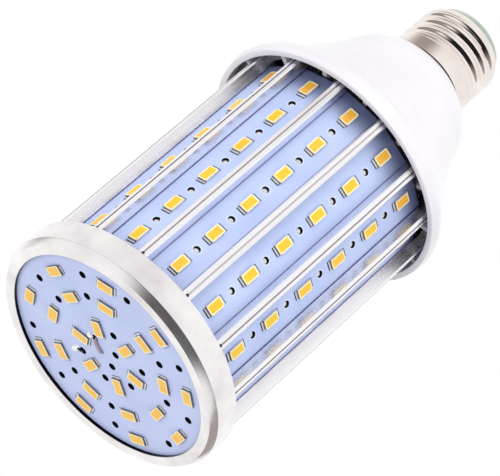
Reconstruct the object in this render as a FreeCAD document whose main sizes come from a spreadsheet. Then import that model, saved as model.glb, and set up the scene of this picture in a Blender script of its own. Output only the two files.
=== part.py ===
import FreeCAD, Part
import math
import os
import Sketcher

# Corn LED bulb, in millimetres.
# The bulb stands on the front face of its end ring at Z = 0, and its screw cap points to +Z.
# The spreadsheet holds the sizes. Each piece is an object whose sketches are bound to those cells.

V = FreeCAD.Vector
PARTS = "parts"

SIZES = {
    # heat sink extrusion
    "strip_count": 14,
    "sink_flat": 29.2,
    "sink_wall": 2.0,
    "rib_height": 5.2,
    "rib_width": 2.9,
    "rib_neck": 1.7,
    "rib_edge": 0.35,
    "rib_groove_width": 0.5,
    "rib_groove_depth": 0.45,
    "slot_height": 1.35,
    "port_count": 4,
    "port_inset": 2.0,
    "port_wall": 1.3,
    "port_hole_radius": 1.4,
    "port_slit": 0.9,
    # end ring
    "ring_wall": 1.1,
    "ring_length": 9.1,
    "ring_lip_overlap": 1.6,
    "ring_lip_depth": 1.1,
    "ring_edge_width": 1.3,
    "ring_edge_length": 2.0,
    # light strips
    "board_thickness": 1.0,
    "board_start_gap": 0.6,
    "board_tail": 6.7,
    "light_margin": 7.6,
    "light_pitch": 13.4,
    "lights_per_strip": 6,
    "vent_radius": 1.0,
    "light_length": 5.7,
    "light_width": 3.0,
    "light_height": 0.9,
    "light_wall": 0.35,
    "light_well": 0.12,
    # round end board
    "end_board_step": 1.4,
    "end_board_thickness": 1.5,
    "end_edge": 4.6,
    "end_step": 8.0,
    "end_inner_step": 9.4,
    "end_outer_count": 9,
    "end_inner_count": 6,
    "end_turn": 36.7,
    "centre_vent_spread": 3.4,
    "lead_radius": 0.4,
    "lead_bend": 0.75,
    "lead_tail": 2.1,
    "solder_radius": 1.25,
    "solder_height": 0.75,
    # collar
    "mouth_gap": 0.8,
    "rim_wall": 1.7,
    "rim_bulge": 0.4,
    "rim_overlap": 3.2,
    "rim_length": 2.2,
    "shoulder_drop": 2.3,
    "shoulder_length": 4.2,
    "shoulder_bow": 0.45,
    "flare_length": 30.1,
    "flare_bow": 0.7,
    "neck_round": 4.7,
    "neck_edge": 4.15,
    "neck_length": 8.5,
    "neck_bow": 0.8,
    "neck_dome": 1.8,
    "dome_bow": 0.35,
    "collar_wall": 2.3,
    "collar_ledge": 1.5,
    "collar_roof": 3.2,
    "tab_width": 1.4,
    "tab_height": 1.6,
    "spigot_wall": 1.6,
    # screw cap
    "cap_radius": 13.15,
    "cap_wall": 0.35,
    "cap_sink": 0.7,
    "cap_crimp": 0.4,
    "crimp_length": 1.7,
    "skirt_length": 7.55,
    "thread_depth": 0.95,
    "thread_pitch": 3.63,
    "thread_turns": 3,
    "cap_lip_inset": 1.95,
    "cap_lip_rise": 3.56,
    "insulator_rise": 2.5,
    "insulator_plug": 1.6,
    "insulator_shoulder": 1.0,
    "insulator_rim": 0.7,
    "contact_radius": 4.9,
    "contact_dome": 1.6,
    "contact_rise": 1.2,
    "contact_stem_radius": 1.5,
    # end plate and driver
    "plate_step": 0.6,
    "plate_thickness": 2.0,
    "plate_opening": 10.5,
    "post_count": 4,
    "post_height": 4.0,
    "post_radius": 2.6,
    "post_inset": 4.0,
    "driver_radius": 21.0,
    "driver_thickness": 1.6,
    "capacitor_radius": 5.0,
    "capacitor_height": 17.0,
    "transformer_width": 15.0,
    "transformer_depth": 13.0,
    "transformer_height": 12.0,
    "choke_radius": 4.0,
    "choke_height": 9.0,
    "bridge_width": 6.4,
    "bridge_depth": 4.8,
    "bridge_height": 2.5,
    "wire_radius": 0.5,
    "wire_bend": 1.0,
    "riser_bend": 4.0,
    "riser_height": 14.0,
    "riser_slant": 8.0,
    "riser_offset": 2.5,
    "part_gap": 1.4,
    "screw_head_radius": 2.5,
    "screw_head_height": 1.7,
    "screw_length": 9.0,
    "stem_tail": 0.6,
    # clearances
    "fit_gap": 0.1,
}

doc = FreeCAD.newDocument("corn_bulb")
sheet = doc.addObject("Spreadsheet::Sheet", "Sizes")
for row, (alias, value) in enumerate(SIZES.items(), start=1):
    sheet.set("A%d" % row, alias)
    sheet.set("B%d" % row, str(value))
    sheet.setAlias("B%d" % row, alias)
doc.recompute()


def value(alias):
    """Number in one cell of the sheet."""
    return float(sheet.get(alias))


# Shares of the pitch where a thread's rising flank starts, and where its crest starts and ends
FLANK_START = 0.15
CREST_START = 0.5
CREST_END = 0.65

# Places that several pieces share, as expressions of the sheet's cells
HALF_SECTOR = "(180 / Sizes.strip_count)"
SECTOR_TAN = "tan(180 / Sizes.strip_count)"
SECTOR_COS = "cos(180 / Sizes.strip_count)"
RIB_RADIUS = "(Sizes.sink_flat + Sizes.rib_height)"
SINK_BORE = "(Sizes.sink_flat - Sizes.sink_wall)"
PORT_SPREAD = "(%s - Sizes.port_inset)" % SINK_BORE
PORT_OUTER = "(Sizes.port_hole_radius + Sizes.port_wall)"
PORT_TURN = "(0 - 135 + 180 / Sizes.strip_count)"
SLOT_TOP = "(Sizes.sink_flat + Sizes.slot_height)"
SLOT_HALF = "(Sizes.sink_flat * %s - Sizes.rib_neck / 2 / %s)" % (SECTOR_TAN, SECTOR_COS)
RING_RADIUS = "(%s + Sizes.ring_wall)" % RIB_RADIUS
END_BOARD_RADIUS = "(%s - Sizes.end_board_step)" % RIB_RADIUS
RING_LIP_RADIUS = "(%s - Sizes.ring_lip_overlap)" % END_BOARD_RADIUS
END_OUTER = "(%s - Sizes.end_edge)" % RING_LIP_RADIUS
END_MIDDLE = "(%s - Sizes.end_step)" % END_OUTER
END_INNER = "(%s - Sizes.end_inner_step)" % END_MIDDLE
END_BOARD_FRONT = "Sizes.ring_lip_depth"
SINK_START = "(Sizes.ring_lip_depth + Sizes.end_board_thickness)"
BOARD_HALF = "(%s - Sizes.fit_gap)" % SLOT_HALF
BOARD_FRONT = "(Sizes.sink_flat + Sizes.board_thickness)"
BOARD_START = "(%s + Sizes.board_start_gap)" % SINK_START
LIGHT_START = "(Sizes.ring_length + Sizes.light_margin)"
BOARD_END = "(%s + Sizes.light_pitch * (Sizes.lights_per_strip - 1) + Sizes.board_tail)" % LIGHT_START
SINK_END = "(%s + Sizes.tab_height)" % BOARD_END
MOUTH_RADIUS = "(%s + Sizes.mouth_gap)" % RIB_RADIUS
RIM_RADIUS = "(%s + Sizes.rim_wall)" % MOUTH_RADIUS
RIM_SWELL = "(%s + Sizes.rim_bulge)" % RIM_RADIUS
RIM_START = "(%s - Sizes.rim_overlap)" % BOARD_END
RIM_TOP = "(%s + Sizes.rim_length)" % RIM_START
SHOULDER_RADIUS = "(%s - Sizes.shoulder_drop)" % RIM_SWELL
SHOULDER_TOP = "(%s + Sizes.shoulder_length)" % RIM_TOP
NECK_EDGE_RADIUS = "(Sizes.cap_radius + Sizes.neck_edge)"
NECK_RADIUS = "(%s + Sizes.neck_round)" % NECK_EDGE_RADIUS
NECK_START = "(%s + Sizes.flare_length)" % RIM_START
NECK_END = "(%s + Sizes.neck_length)" % NECK_START
NECK_TOP = "(%s + Sizes.neck_dome)" % NECK_END
CAP_START = "(%s - Sizes.cap_sink)" % NECK_TOP
FOOT_RADIUS = "(Sizes.cap_radius - Sizes.cap_crimp)"
SPIGOT_RADIUS = "(%s - Sizes.cap_wall)" % FOOT_RADIUS
SPIGOT_BORE = "(%s - Sizes.spigot_wall)" % SPIGOT_RADIUS
THREAD_ROOT = "(Sizes.cap_radius - Sizes.thread_depth)"
THREAD_START = "(%s + Sizes.skirt_length)" % CAP_START
SKIRT_END = "(%s - %s * Sizes.thread_pitch)" % (THREAD_START, 1 - CREST_END)
THREAD_END = "(%s + Sizes.thread_turns * Sizes.thread_pitch)" % THREAD_START
CAP_END = "(%s + Sizes.cap_lip_rise)" % THREAD_END
CAP_LIP_RADIUS = "(Sizes.cap_radius - Sizes.cap_lip_inset)"
INSULATOR_TOP = "(%s + Sizes.insulator_rise)" % CAP_END
INSULATOR_FOOT = "(%s - Sizes.insulator_plug)" % CAP_END
INSULATOR_TOP_RADIUS = "(Sizes.contact_radius + Sizes.insulator_rim)"
CONTACT_TOP = "(%s + Sizes.contact_rise)" % INSULATOR_TOP
STEM_END = "(%s - Sizes.stem_tail)" % INSULATOR_FOOT
PLATE_RADIUS = "(%s + Sizes.plate_step)" % SINK_BORE
PLATE_TOP = "(%s + Sizes.plate_thickness)" % SINK_END
POST_SPREAD = "(Sizes.driver_radius - Sizes.post_inset)"
DRIVER_BOTTOM = "(%s + Sizes.post_height)" % PLATE_TOP
DRIVER_TOP = "(%s + Sizes.driver_thickness)" % DRIVER_BOTTOM
CAPACITOR_X = "(0 - Sizes.capacitor_radius - Sizes.part_gap - Sizes.riser_offset)"
CAPACITOR_Y = "(Sizes.capacitor_radius + Sizes.part_gap / 2)"
TRANSFORMER_X = "(Sizes.transformer_width / 2 + Sizes.part_gap)"
TRANSFORMER_Y = "(Sizes.transformer_depth / 2 - 2 * Sizes.part_gap)"
CHOKE_X = "(0 - Sizes.part_gap)"
CHOKE_Y = "(0 - Sizes.choke_radius - 2 * Sizes.riser_offset - 2 * Sizes.part_gap)"
BRIDGE_X = "(Sizes.bridge_width / 2 + 4 * Sizes.part_gap)"
BRIDGE_Y = "(0 - Sizes.bridge_depth / 2 - 3 * Sizes.part_gap)"


def number(expression):
    """Number that an expression of the sheet's cells comes to."""
    return float(sheet.evalExpression(expression.replace("Sizes.", "")))


def plane(body, role):
    """Origin plane or axis of a body, by its role."""
    for feature in body.Origin.OriginFeatures:
        if feature.Role == role:
            return feature
    raise ValueError(role)


def new_body(label, compound=False):
    """Body with its label, which is also the name of its file."""
    body = doc.addObject("PartDesign::Body", label)
    body.Label = label
    body.AllowCompound = compound
    return body


def new_sketch(body, name, role="XY_Plane", offset=None):
    """Sketch on one of the body's origin planes, lifted along its normal by an expression."""
    sketch = body.newObject("Sketcher::SketchObject", name)
    sketch.AttachmentSupport = [(plane(body, role), "")]
    sketch.MapMode = "FlatFace"
    if offset is not None:
        sketch.setExpression("AttachmentOffset.Base.z", offset)
    return sketch


def pin(sketch, geometry, vertex, across, along):
    """Fix one vertex by two expressions, counted from the sketch's origin."""
    first = sketch.addConstraint(Sketcher.Constraint("DistanceX", -1, 1, geometry, vertex, number(across)))
    sketch.setExpression("Constraints[%d]" % first, across)
    second = sketch.addConstraint(Sketcher.Constraint("DistanceY", -1, 1, geometry, vertex, number(along)))
    sketch.setExpression("Constraints[%d]" % second, along)


def bow(start, end, rise, side, runs):
    """Corners of a shallow bow from start towards end, to the left of the way (side 1) or the right (-1)."""
    across = "(%s - (%s))" % (end[0], start[0])
    along = "(%s - (%s))" % (end[1], start[1])
    chord = "sqrt(%s * %s + %s * %s)" % (across, across, along, along)
    corners = [start]
    for run in range(1, runs):
        share = run / runs
        lift = "%s * %s / %s" % (4 * side * share * (1 - share), rise, chord)
        corners.append(("%s + %s * %s - %s * %s" % (start[0], share, across, lift, along),
                        "%s + %s * %s + %s * %s" % (start[1], share, along, lift, across)))
    return corners


def outline(sketch, corners):
    """Closed outline of straight lines through corners (across, along)."""
    points = [V(number(across), number(along), 0) for across, along in corners]
    count = len(corners)
    first = sketch.GeometryCount
    for index in range(count):
        sketch.addGeometry(Part.LineSegment(points[index], points[(index + 1) % count]), False)
    for index in range(count):
        after = (index + 1) % count
        sketch.addConstraint(Sketcher.Constraint("Coincident", first + index, 2, first + after, 1))
    for index, (across, along) in enumerate(corners):
        pin(sketch, first + index, 1, across, along)


def rectangle(sketch, left, bottom, right, top):
    """Upright rectangle between two corners."""
    outline(sketch, [(left, bottom), (right, bottom), (right, top), (left, top)])


def circle(sketch, across, along, radius):
    """Circle with its centre and radius bound to expressions."""
    centre = V(number(across), number(along), 0)
    index = sketch.addGeometry(Part.Circle(centre, V(0, 0, 1), number(radius)), False)
    pin(sketch, index, 3, across, along)
    bound = sketch.addConstraint(Sketcher.Constraint("Radius", index, number(radius)))
    sketch.setExpression("Constraints[%d]" % bound, radius)


def polygon(sketch, across, along, radius, sides=8):
    """Small round outline drawn with flats, which keeps the many repeats of it light."""
    corners = []
    for side in range(sides):
        angle = "(%s)" % ((side + 0.5) * 360.0 / sides)
        reach = "%s * cos%s" % (radius, angle)
        rise = "%s * sin%s" % (radius, angle)
        corners.append(("%s + %s" % (across, reach), "%s + %s" % (along, rise)))
    outline(sketch, corners)


def pad(body, sketch, length, name, down=False):
    """Pad of a sketch along its normal, or against it."""
    feature = body.newObject("PartDesign::Pad", name)
    feature.Profile = sketch
    feature.Reversed = down
    feature.setExpression("Length", length)
    sketch.Visibility = False
    doc.recompute()
    return feature


def pocket(body, sketch, length, name, up=False):
    """Pocket against the sketch's normal, or along it."""
    before = body.Shape.Volume
    feature = body.newObject("PartDesign::Pocket", name)
    feature.Profile = sketch
    feature.Reversed = up
    feature.setExpression("Length", length)
    sketch.Visibility = False
    doc.recompute()
    if body.Shape.Volume >= before - 1e-6:
        raise RuntimeError("%s cuts nothing from %s" % (name, body.Label))
    return feature


def turn(body, sketch, name):
    """Full revolution of a sketch on the XZ plane about Z."""
    feature = body.newObject("PartDesign::Revolution", name)
    feature.Profile = sketch
    feature.ReferenceAxis = (sketch, ["V_Axis"])
    feature.Angle = 360.0
    sketch.Visibility = False
    doc.recompute()
    return feature


def around(body, features, count, name):
    """Copies of features all the way round Z."""
    pattern = body.newObject("PartDesign::PolarPattern", name)
    pattern.Originals = features
    pattern.Axis = (plane(body, "Z_Axis"), [""])
    pattern.Angle = 360.0
    pattern.setExpression("Occurrences", count)
    body.Tip = pattern
    doc.recompute()
    return pattern


def along_z(body, features, spacing, count, name):
    """Copies of features in a row along Z."""
    pattern = body.newObject("PartDesign::LinearPattern", name)
    pattern.Originals = features
    pattern.Direction = (plane(body, "Z_Axis"), [""])
    pattern.setExpression("Length", "%s * (%s - 1)" % (spacing, count))
    pattern.setExpression("Occurrences", count)
    body.Tip = pattern
    doc.recompute()
    return pattern


def section(body, name, corners):
    """Sketch on the XZ plane whose corners are (radius, height)."""
    sketch = new_sketch(body, name, "XZ_Plane")
    outline(sketch, corners)
    return sketch


def strip_angle(index):
    """Direction of a strip's middle, in degrees, so that a rib faces -Y."""
    return "(0 - 90 + (%d - 0.5) * 360 / Sizes.strip_count)" % index


def face_outwards(body, index):
    """Turn a piece that was modelled towards +X to its place round the sink."""
    body.setExpression("Placement.Rotation.Angle", strip_angle(index))
    body.Placement = FreeCAD.Placement(V(0, 0, 0), FreeCAD.Rotation(V(0, 0, 1), number(strip_angle(index))))


def polar(radius, angle):
    """Pair of expressions for a point at a radius and an angle in degrees."""
    return "%s * cos(%s)" % (radius, angle), "%s * sin(%s)" % (radius, angle)


def vents(sketch):
    """Holes midway between the lights of one strip."""
    for index in range(int(value("lights_per_strip")) - 1):
        height = "%s + Sizes.light_pitch * %s" % (LIGHT_START, index + 0.5)
        polygon(sketch, "0", height, "Sizes.vent_radius")


def heat_sink():
    """Extruded body: a tube with channels for the strips, ribs between them and screw ports inside."""
    body = new_body("heat_sink")
    blank = new_sketch(body, "tube_section", offset=SINK_START)
    circle(blank, "0", "0", RIB_RADIUS)
    circle(blank, "0", "0", SINK_BORE)
    length = "%s - %s" % (SINK_END, SINK_START)
    pad(body, blank, length, "tube")

    port = new_sketch(body, "port_section", offset=SINK_START)
    circle(port, *polar(PORT_SPREAD, "0 - 45"), PORT_OUTER)
    lug = pad(body, port, length, "port_lug")
    around(body, [lug], "Sizes.port_count", "port_lugs")
    bore = new_sketch(body, "port_bore_section", offset=SINK_START)
    circle(bore, *polar(PORT_SPREAD, "0 - 45"), "Sizes.port_hole_radius")
    bore_cut = pocket(body, bore, length, "port_bore", up=True)
    around(body, [bore_cut], "Sizes.port_count", "port_bores")
    slit = new_sketch(body, "port_slit_section", offset=SINK_START)
    corners = []
    inside = "(%s - %s - Sizes.port_slit)" % (PORT_SPREAD, PORT_OUTER)
    for out, side in ((inside, -1), (PORT_SPREAD, -1), (PORT_SPREAD, 1), (inside, 1)):
        across = "(%d * Sizes.port_slit / 2)" % side
        corners.append(("(%s + %s) * cos(45)" % (out, across), "(%s - %s) * cos(45)" % (across, out)))
    outline(slit, corners)
    cut = pocket(body, slit, length, "port_slit", up=True)
    around(body, [cut], "Sizes.port_count", "port_slits")

    channel = new_sketch(body, "channel_section", offset=SINK_START)
    outside = "(%s + Sizes.rib_width)" % RIB_RADIUS
    tip = "((%s - Sizes.rib_edge) * %s + Sizes.rib_width / 2 * sin%s)" % (RIB_RADIUS, SECTOR_COS, HALF_SECTOR)
    lip_half = "(%s * %s - Sizes.rib_width / 2 / %s)" % (SLOT_TOP, SECTOR_TAN, SECTOR_COS)
    tip_half = "(%s * %s - Sizes.rib_width / 2 / %s)" % (tip, SECTOR_TAN, SECTOR_COS)
    outer_half = "(%s + (%s - %s) * tan(45 + 180 / Sizes.strip_count))" % (tip_half, outside, tip)
    outline(channel, [
        ("Sizes.sink_flat", "0 - " + SLOT_HALF),
        (SLOT_TOP, "0 - " + SLOT_HALF),
        (SLOT_TOP, "0 - " + lip_half),
        (tip, "0 - " + tip_half),
        (outside, "0 - " + outer_half),
        (outside, outer_half),
        (tip, tip_half),
        (SLOT_TOP, lip_half),
        (SLOT_TOP, SLOT_HALF),
        ("Sizes.sink_flat", SLOT_HALF),
    ])
    channel_cut = pocket(body, channel, length, "channel", up=True)
    groove = new_sketch(body, "rib_groove_section", offset=SINK_START)
    corners = []
    floor = "(%s - Sizes.rib_groove_depth)" % RIB_RADIUS
    for out, side in ((floor, -1), (outside, -1), (outside, 1), (floor, 1)):
        across = "(%d * Sizes.rib_groove_width / 2)" % side
        corners.append(("%s * cos%s - %s * sin%s" % (out, HALF_SECTOR, across, HALF_SECTOR),
                        "%s * sin%s + %s * cos%s" % (out, HALF_SECTOR, across, HALF_SECTOR)))
    outline(groove, corners)
    groove_cut = pocket(body, groove, length, "rib_groove", up=True)
    around(body, [channel_cut, groove_cut], "Sizes.strip_count", "strip_channels")
    body.setExpression("Placement.Rotation.Angle", strip_angle(1))
    body.Placement = FreeCAD.Placement(V(0, 0, 0), FreeCAD.Rotation(V(0, 0, 1), number(strip_angle(1))))
    return body


def strip_board(index):
    """Light board that slides into one channel of the sink."""
    body = new_body("strip_board_%02d" % index)
    face = new_sketch(body, "board_outline", "YZ_Plane", "Sizes.sink_flat")
    rectangle(face, "0 - " + BOARD_HALF, BOARD_START, BOARD_HALF, BOARD_END)
    vents(face)
    pad(body, face, "Sizes.board_thickness", "board")
    face_outwards(body, index)
    return body


def strip_lights(index):
    """Row of light packages on one board, each with a shallow well for its phosphor."""
    body = new_body("strip_lights_%02d" % index, compound=True)
    foot = new_sketch(body, "package_outline", "YZ_Plane", BOARD_FRONT)
    low = LIGHT_START + " - Sizes.light_length / 2"
    high = LIGHT_START + " + Sizes.light_length / 2"
    rectangle(foot, "0 - Sizes.light_width / 2", low, "Sizes.light_width / 2", high)
    package = pad(body, foot, "Sizes.light_height", "package")
    top = new_sketch(body, "well_outline", "YZ_Plane", "%s + Sizes.light_height" % BOARD_FRONT)
    rectangle(top, "0 - Sizes.light_width / 2 + Sizes.light_wall", low + " + 2 * Sizes.light_wall",
              "Sizes.light_width / 2 - Sizes.light_wall", high + " - 2 * Sizes.light_wall")
    well = pocket(body, top, "Sizes.light_well", "well")
    along_z(body, [package, well], "Sizes.light_pitch", "Sizes.lights_per_strip", "row")
    face_outwards(body, index)
    return body


def front_ring():
    """Turned end ring: its lip holds the end board against the sink."""
    body = new_body("front_ring")
    seat = END_BOARD_RADIUS + " + Sizes.fit_gap"
    bore = RIB_RADIUS + " + Sizes.fit_gap"
    sketch = section(body, "ring_section", [
        (RING_LIP_RADIUS, "0"),
        (RING_RADIUS + " - Sizes.ring_edge_width", "0"),
        (RING_RADIUS, "Sizes.ring_edge_length"),
        (RING_RADIUS, "Sizes.ring_length"),
        (bore, "Sizes.ring_length"),
        (bore, SINK_START),
        (seat, SINK_START),
        (seat, END_BOARD_FRONT),
        (RING_LIP_RADIUS, END_BOARD_FRONT),
    ])
    turn(body, sketch, "ring")
    return body


END_RINGS = (
    ("outer", END_OUTER, "Sizes.end_outer_count", "Sizes.light_width", "Sizes.light_length"),
    ("middle", END_MIDDLE, "Sizes.end_outer_count", "Sizes.light_width", "Sizes.light_length"),
    ("inner", END_INNER, "Sizes.end_inner_count", "Sizes.light_length", "Sizes.light_width"),
)
LEAD_TURNS = ("(Sizes.end_turn + 90)", "(Sizes.end_turn + 150)")
CENTRE_VENT_TURNS = ("(0 - 30)", "(0 - 120)")


def end_board():
    """Round light board with a cooling hole between each two lights of a ring."""
    body = new_body("end_board")
    disc = new_sketch(body, "disc_outline", offset=END_BOARD_FRONT)
    circle(disc, "0", "0", END_BOARD_RADIUS)
    for vent_turn in CENTRE_VENT_TURNS:
        polygon(disc, *polar("Sizes.centre_vent_spread", vent_turn), "Sizes.vent_radius")
    pad(body, disc, "Sizes.end_board_thickness", "disc")
    for name, radius, count, _, _ in END_RINGS:
        layout = new_sketch(body, name + "_vent_layout", offset=END_BOARD_FRONT)
        polygon(layout, *polar(radius, "180 / " + count), "Sizes.vent_radius")
        cut = pocket(body, layout, "Sizes.end_board_thickness", name + "_vent", up=True)
        around(body, [cut], count, name + "_vents")
    body.Placement = FreeCAD.Placement(V(0, 0, 0), FreeCAD.Rotation(V(0, 0, 1), value("end_turn")))
    body.setExpression("Placement.Rotation.Angle", "Sizes.end_turn")
    return body


def end_lights():
    """Three rings of light packages on the end board, facing -Z."""
    body = new_body("end_lights", compound=True)
    for name, radius, count, radial, tangential in END_RINGS:
        foot = new_sketch(body, name + "_package_outline", offset=END_BOARD_FRONT)
        rectangle(foot, "%s - %s / 2" % (radius, radial), "0 - %s / 2" % tangential,
                  "%s + %s / 2" % (radius, radial), "%s / 2" % tangential)
        package = pad(body, foot, "Sizes.light_height", name + "_package", down=True)
        around(body, [package], count, name + "_ring")
    for name, radius, count, radial, tangential in END_RINGS:
        radial_wall = "Sizes.light_wall" if name != "inner" else "2 * Sizes.light_wall"
        other_wall = "2 * Sizes.light_wall" if name != "inner" else "Sizes.light_wall"
        top = new_sketch(body, name + "_well_outline", offset=END_BOARD_FRONT + " - Sizes.light_height")
        rectangle(top, "%s - %s / 2 + %s" % (radius, radial, radial_wall),
                  "0 - %s / 2 + %s" % (tangential, other_wall),
                  "%s + %s / 2 - %s" % (radius, radial, radial_wall),
                  "%s / 2 - %s" % (tangential, other_wall))
        well = pocket(body, top, "Sizes.light_well", name + "_well", up=True)
        around(body, [well], count, name + "_wells")
    body.Placement = FreeCAD.Placement(V(0, 0, 0), FreeCAD.Rotation(V(0, 0, 1), value("end_turn")))
    body.setExpression("Placement.Rotation.Angle", "Sizes.end_turn")
    return body


def bent_wire(label, points, bend, radius, sides=8):
    """Wire along straight runs joined by arcs of one bend radius, with a section of a few flats."""
    edges = []
    start = points[0]
    for before, corner, after in zip(points, points[1:], points[2:]):
        incoming = (corner - before).normalize()
        outgoing = (after - corner).normalize()
        half = incoming.getAngle(outgoing) / 2
        enter = corner - incoming * (bend * math.tan(half))
        leave = corner + outgoing * (bend * math.tan(half))
        inward = (outgoing - incoming).normalize()
        middle = corner + inward * (bend / math.cos(half) - bend)
        edges.append(Part.LineSegment(start, enter).toShape())
        edges.append(Part.Arc(enter, middle, leave).toShape())
        start = leave
    edges.append(Part.LineSegment(start, points[-1]).toShape())
    first = (points[1] - points[0]).normalize()
    rim = Part.makeCircle(radius, points[0], first).discretize(sides + 1)
    ring = Part.makePolygon(rim)
    piece = doc.addObject("Part::Feature", label)
    piece.Label = label
    piece.Shape = Part.Wire(edges).makePipeShell([ring], True, True)
    return piece


def end_lead(label, lead_turn):
    """Lead from the driver board down the bore, through a hole of the end board and over its face."""
    across, along = polar(END_INNER, lead_turn)
    out = V(number("cos(%s)" % lead_turn), number("sin(%s)" % lead_turn), 0)
    face = number(END_BOARD_FRONT) - value("lead_radius")
    top = V(number(across), number(along), number(DRIVER_BOTTOM))
    corner = V(top.x, top.y, face)
    return bent_wire(label, [top, corner, corner + out * value("lead_tail")], value("lead_bend"),
                     value("lead_radius"))


def end_solder(leads):
    """Solder cones that hold the ends of the two leads to the face of the end board."""
    cones = []
    for index, (lead_turn, wire) in enumerate(zip(LEAD_TURNS, leads)):
        cone = doc.addObject("Part::Cone", "solder_cone_%d" % index)
        spread = "(%s + Sizes.lead_tail + Sizes.solder_radius / 2)" % END_INNER
        across, along = polar(spread, lead_turn)
        cone.setExpression("Radius1", "Sizes.solder_radius / 2")
        cone.setExpression("Radius2", "Sizes.solder_radius")
        cone.setExpression("Height", "Sizes.solder_height")
        cone.setExpression("Placement.Base.x", across)
        cone.setExpression("Placement.Base.y", along)
        cone.setExpression("Placement.Base.z", END_BOARD_FRONT + " - Sizes.solder_height")
        cut = doc.addObject("Part::Cut", "solder_seat_%d" % index)
        cut.Base = cone
        cut.Tool = wire
        cones.append(cut)
    group = doc.addObject("Part::Compound", "end_solder")
    group.Label = "end_solder"
    group.Links = cones
    return group


def collar():
    """Moulded bell that joins the sink to the cap, with one web for each strip and a spigot in the cap."""
    body = new_body("collar")
    recess = "(%s + Sizes.cap_crimp + Sizes.fit_gap)" % FOOT_RADIUS
    inner_shoulder = "(%s - Sizes.collar_wall - Sizes.collar_ledge)" % SHOULDER_RADIUS
    roof = "(%s - Sizes.collar_roof)" % NECK_END
    corners = [(MOUTH_RADIUS, RIM_START), (RIM_RADIUS, RIM_START)]
    corners += bow((RIM_SWELL, RIM_TOP), (SHOULDER_RADIUS, SHOULDER_TOP), "Sizes.shoulder_bow", -1, 2)
    corners += bow((SHOULDER_RADIUS, SHOULDER_TOP), (NECK_RADIUS, NECK_START), "Sizes.flare_bow", 1, 4)
    corners += bow((NECK_RADIUS, NECK_START), (NECK_EDGE_RADIUS, NECK_END), "Sizes.neck_bow", -1, 3)
    corners += bow((NECK_EDGE_RADIUS, NECK_END), (recess, NECK_TOP), "Sizes.dome_bow", -1, 2)
    corners += [
        (recess, NECK_TOP),
        (recess, CAP_START),
        (SPIGOT_RADIUS, CAP_START),
        (SPIGOT_RADIUS, SKIRT_END),
        (SPIGOT_BORE, SKIRT_END),
        (SPIGOT_BORE, roof),
        (NECK_RADIUS + " - Sizes.collar_wall", NECK_START),
        (inner_shoulder, SHOULDER_TOP),
        (inner_shoulder, SINK_END),
        (MOUTH_RADIUS, SINK_END),
    ]
    sketch = section(body, "collar_section", corners)
    turn(body, sketch, "bell")
    web = new_sketch(body, "web_outline", offset=BOARD_END)
    angle = strip_angle(1)
    inner = "(Sizes.sink_flat + Sizes.fit_gap)"
    outer = "(%s + Sizes.fit_gap)" % MOUTH_RADIUS
    corners = []
    for out, side in ((inner, -1), (outer, -1), (outer, 1), (inner, 1)):
        across = "(%d * Sizes.tab_width / 2)" % side
        corners.append(("%s * cos%s - %s * sin%s" % (out, angle, across, angle),
                        "%s * sin%s + %s * cos%s" % (out, angle, across, angle)))
    outline(web, corners)
    tab = pad(body, web, "Sizes.tab_height + Sizes.fit_gap", "web")
    around(body, [tab], "Sizes.strip_count", "webs")
    return body


def cap_profile(shift):
    """Corners of one wall of the cap, from its crimped foot to the end of the thread."""
    foot = "%s - %s" % (FOOT_RADIUS, shift)
    plain = "Sizes.cap_radius - " + shift
    root = "%s - %s" % (THREAD_ROOT, shift)
    corners = [
        (foot, CAP_START),
        (foot, CAP_START + " + Sizes.crimp_length / 2"),
        (plain, CAP_START + " + Sizes.crimp_length"),
        (plain, SKIRT_END),
    ]
    for thread in range(int(value("thread_turns"))):
        for radius, share in ((root, 0.0), (root, FLANK_START), (plain, CREST_START), (plain, CREST_END)):
            corners.append((radius, "%s + %s * Sizes.thread_pitch" % (THREAD_START, thread + share)))
    corners.append((root, THREAD_END))
    corners.append((root + " + Sizes.thread_depth / 2", THREAD_END + " + Sizes.thread_pitch / 4"))
    return corners


def cap_shell():
    """Rolled sheet cap: crimped foot, plain skirt, thread and a lip turned in over the insulator."""
    body = new_body("cap_shell")
    lip = [
        (CAP_LIP_RADIUS, CAP_END),
        (CAP_LIP_RADIUS, CAP_END + " - Sizes.cap_wall"),
    ]
    inner = cap_profile("Sizes.cap_wall")
    sketch = section(body, "shell_section", cap_profile("0") + lip + inner[::-1])
    turn(body, sketch, "shell")
    return body


def cap_insulator():
    """Glass insulator that fills the lip of the cap and carries the contact."""
    body = new_body("cap_insulator")
    sketch = section(body, "insulator_section", [
        ("Sizes.contact_stem_radius", INSULATOR_FOOT),
        (CAP_LIP_RADIUS, INSULATOR_FOOT),
        (CAP_LIP_RADIUS, CAP_END),
        ("(%s + %s) / 2" % (CAP_LIP_RADIUS, INSULATOR_TOP_RADIUS), CAP_END + " + Sizes.insulator_shoulder"),
        (INSULATOR_TOP_RADIUS, INSULATOR_TOP),
        ("Sizes.contact_stem_radius", INSULATOR_TOP),
    ])
    turn(body, sketch, "insulator")
    return body


def cap_contact():
    """Centre contact: a domed button with a stem through the insulator."""
    body = new_body("cap_contact")
    sketch = section(body, "contact_section", [
        ("0", STEM_END),
        ("Sizes.contact_stem_radius", STEM_END),
        ("Sizes.contact_stem_radius", INSULATOR_TOP),
        ("Sizes.contact_radius", INSULATOR_TOP),
        ("Sizes.contact_radius", INSULATOR_TOP + " + Sizes.contact_rise / 3"),
        ("Sizes.contact_radius - Sizes.contact_dome", CONTACT_TOP),
        ("0", CONTACT_TOP),
    ])
    turn(body, sketch, "contact")
    return body


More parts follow.
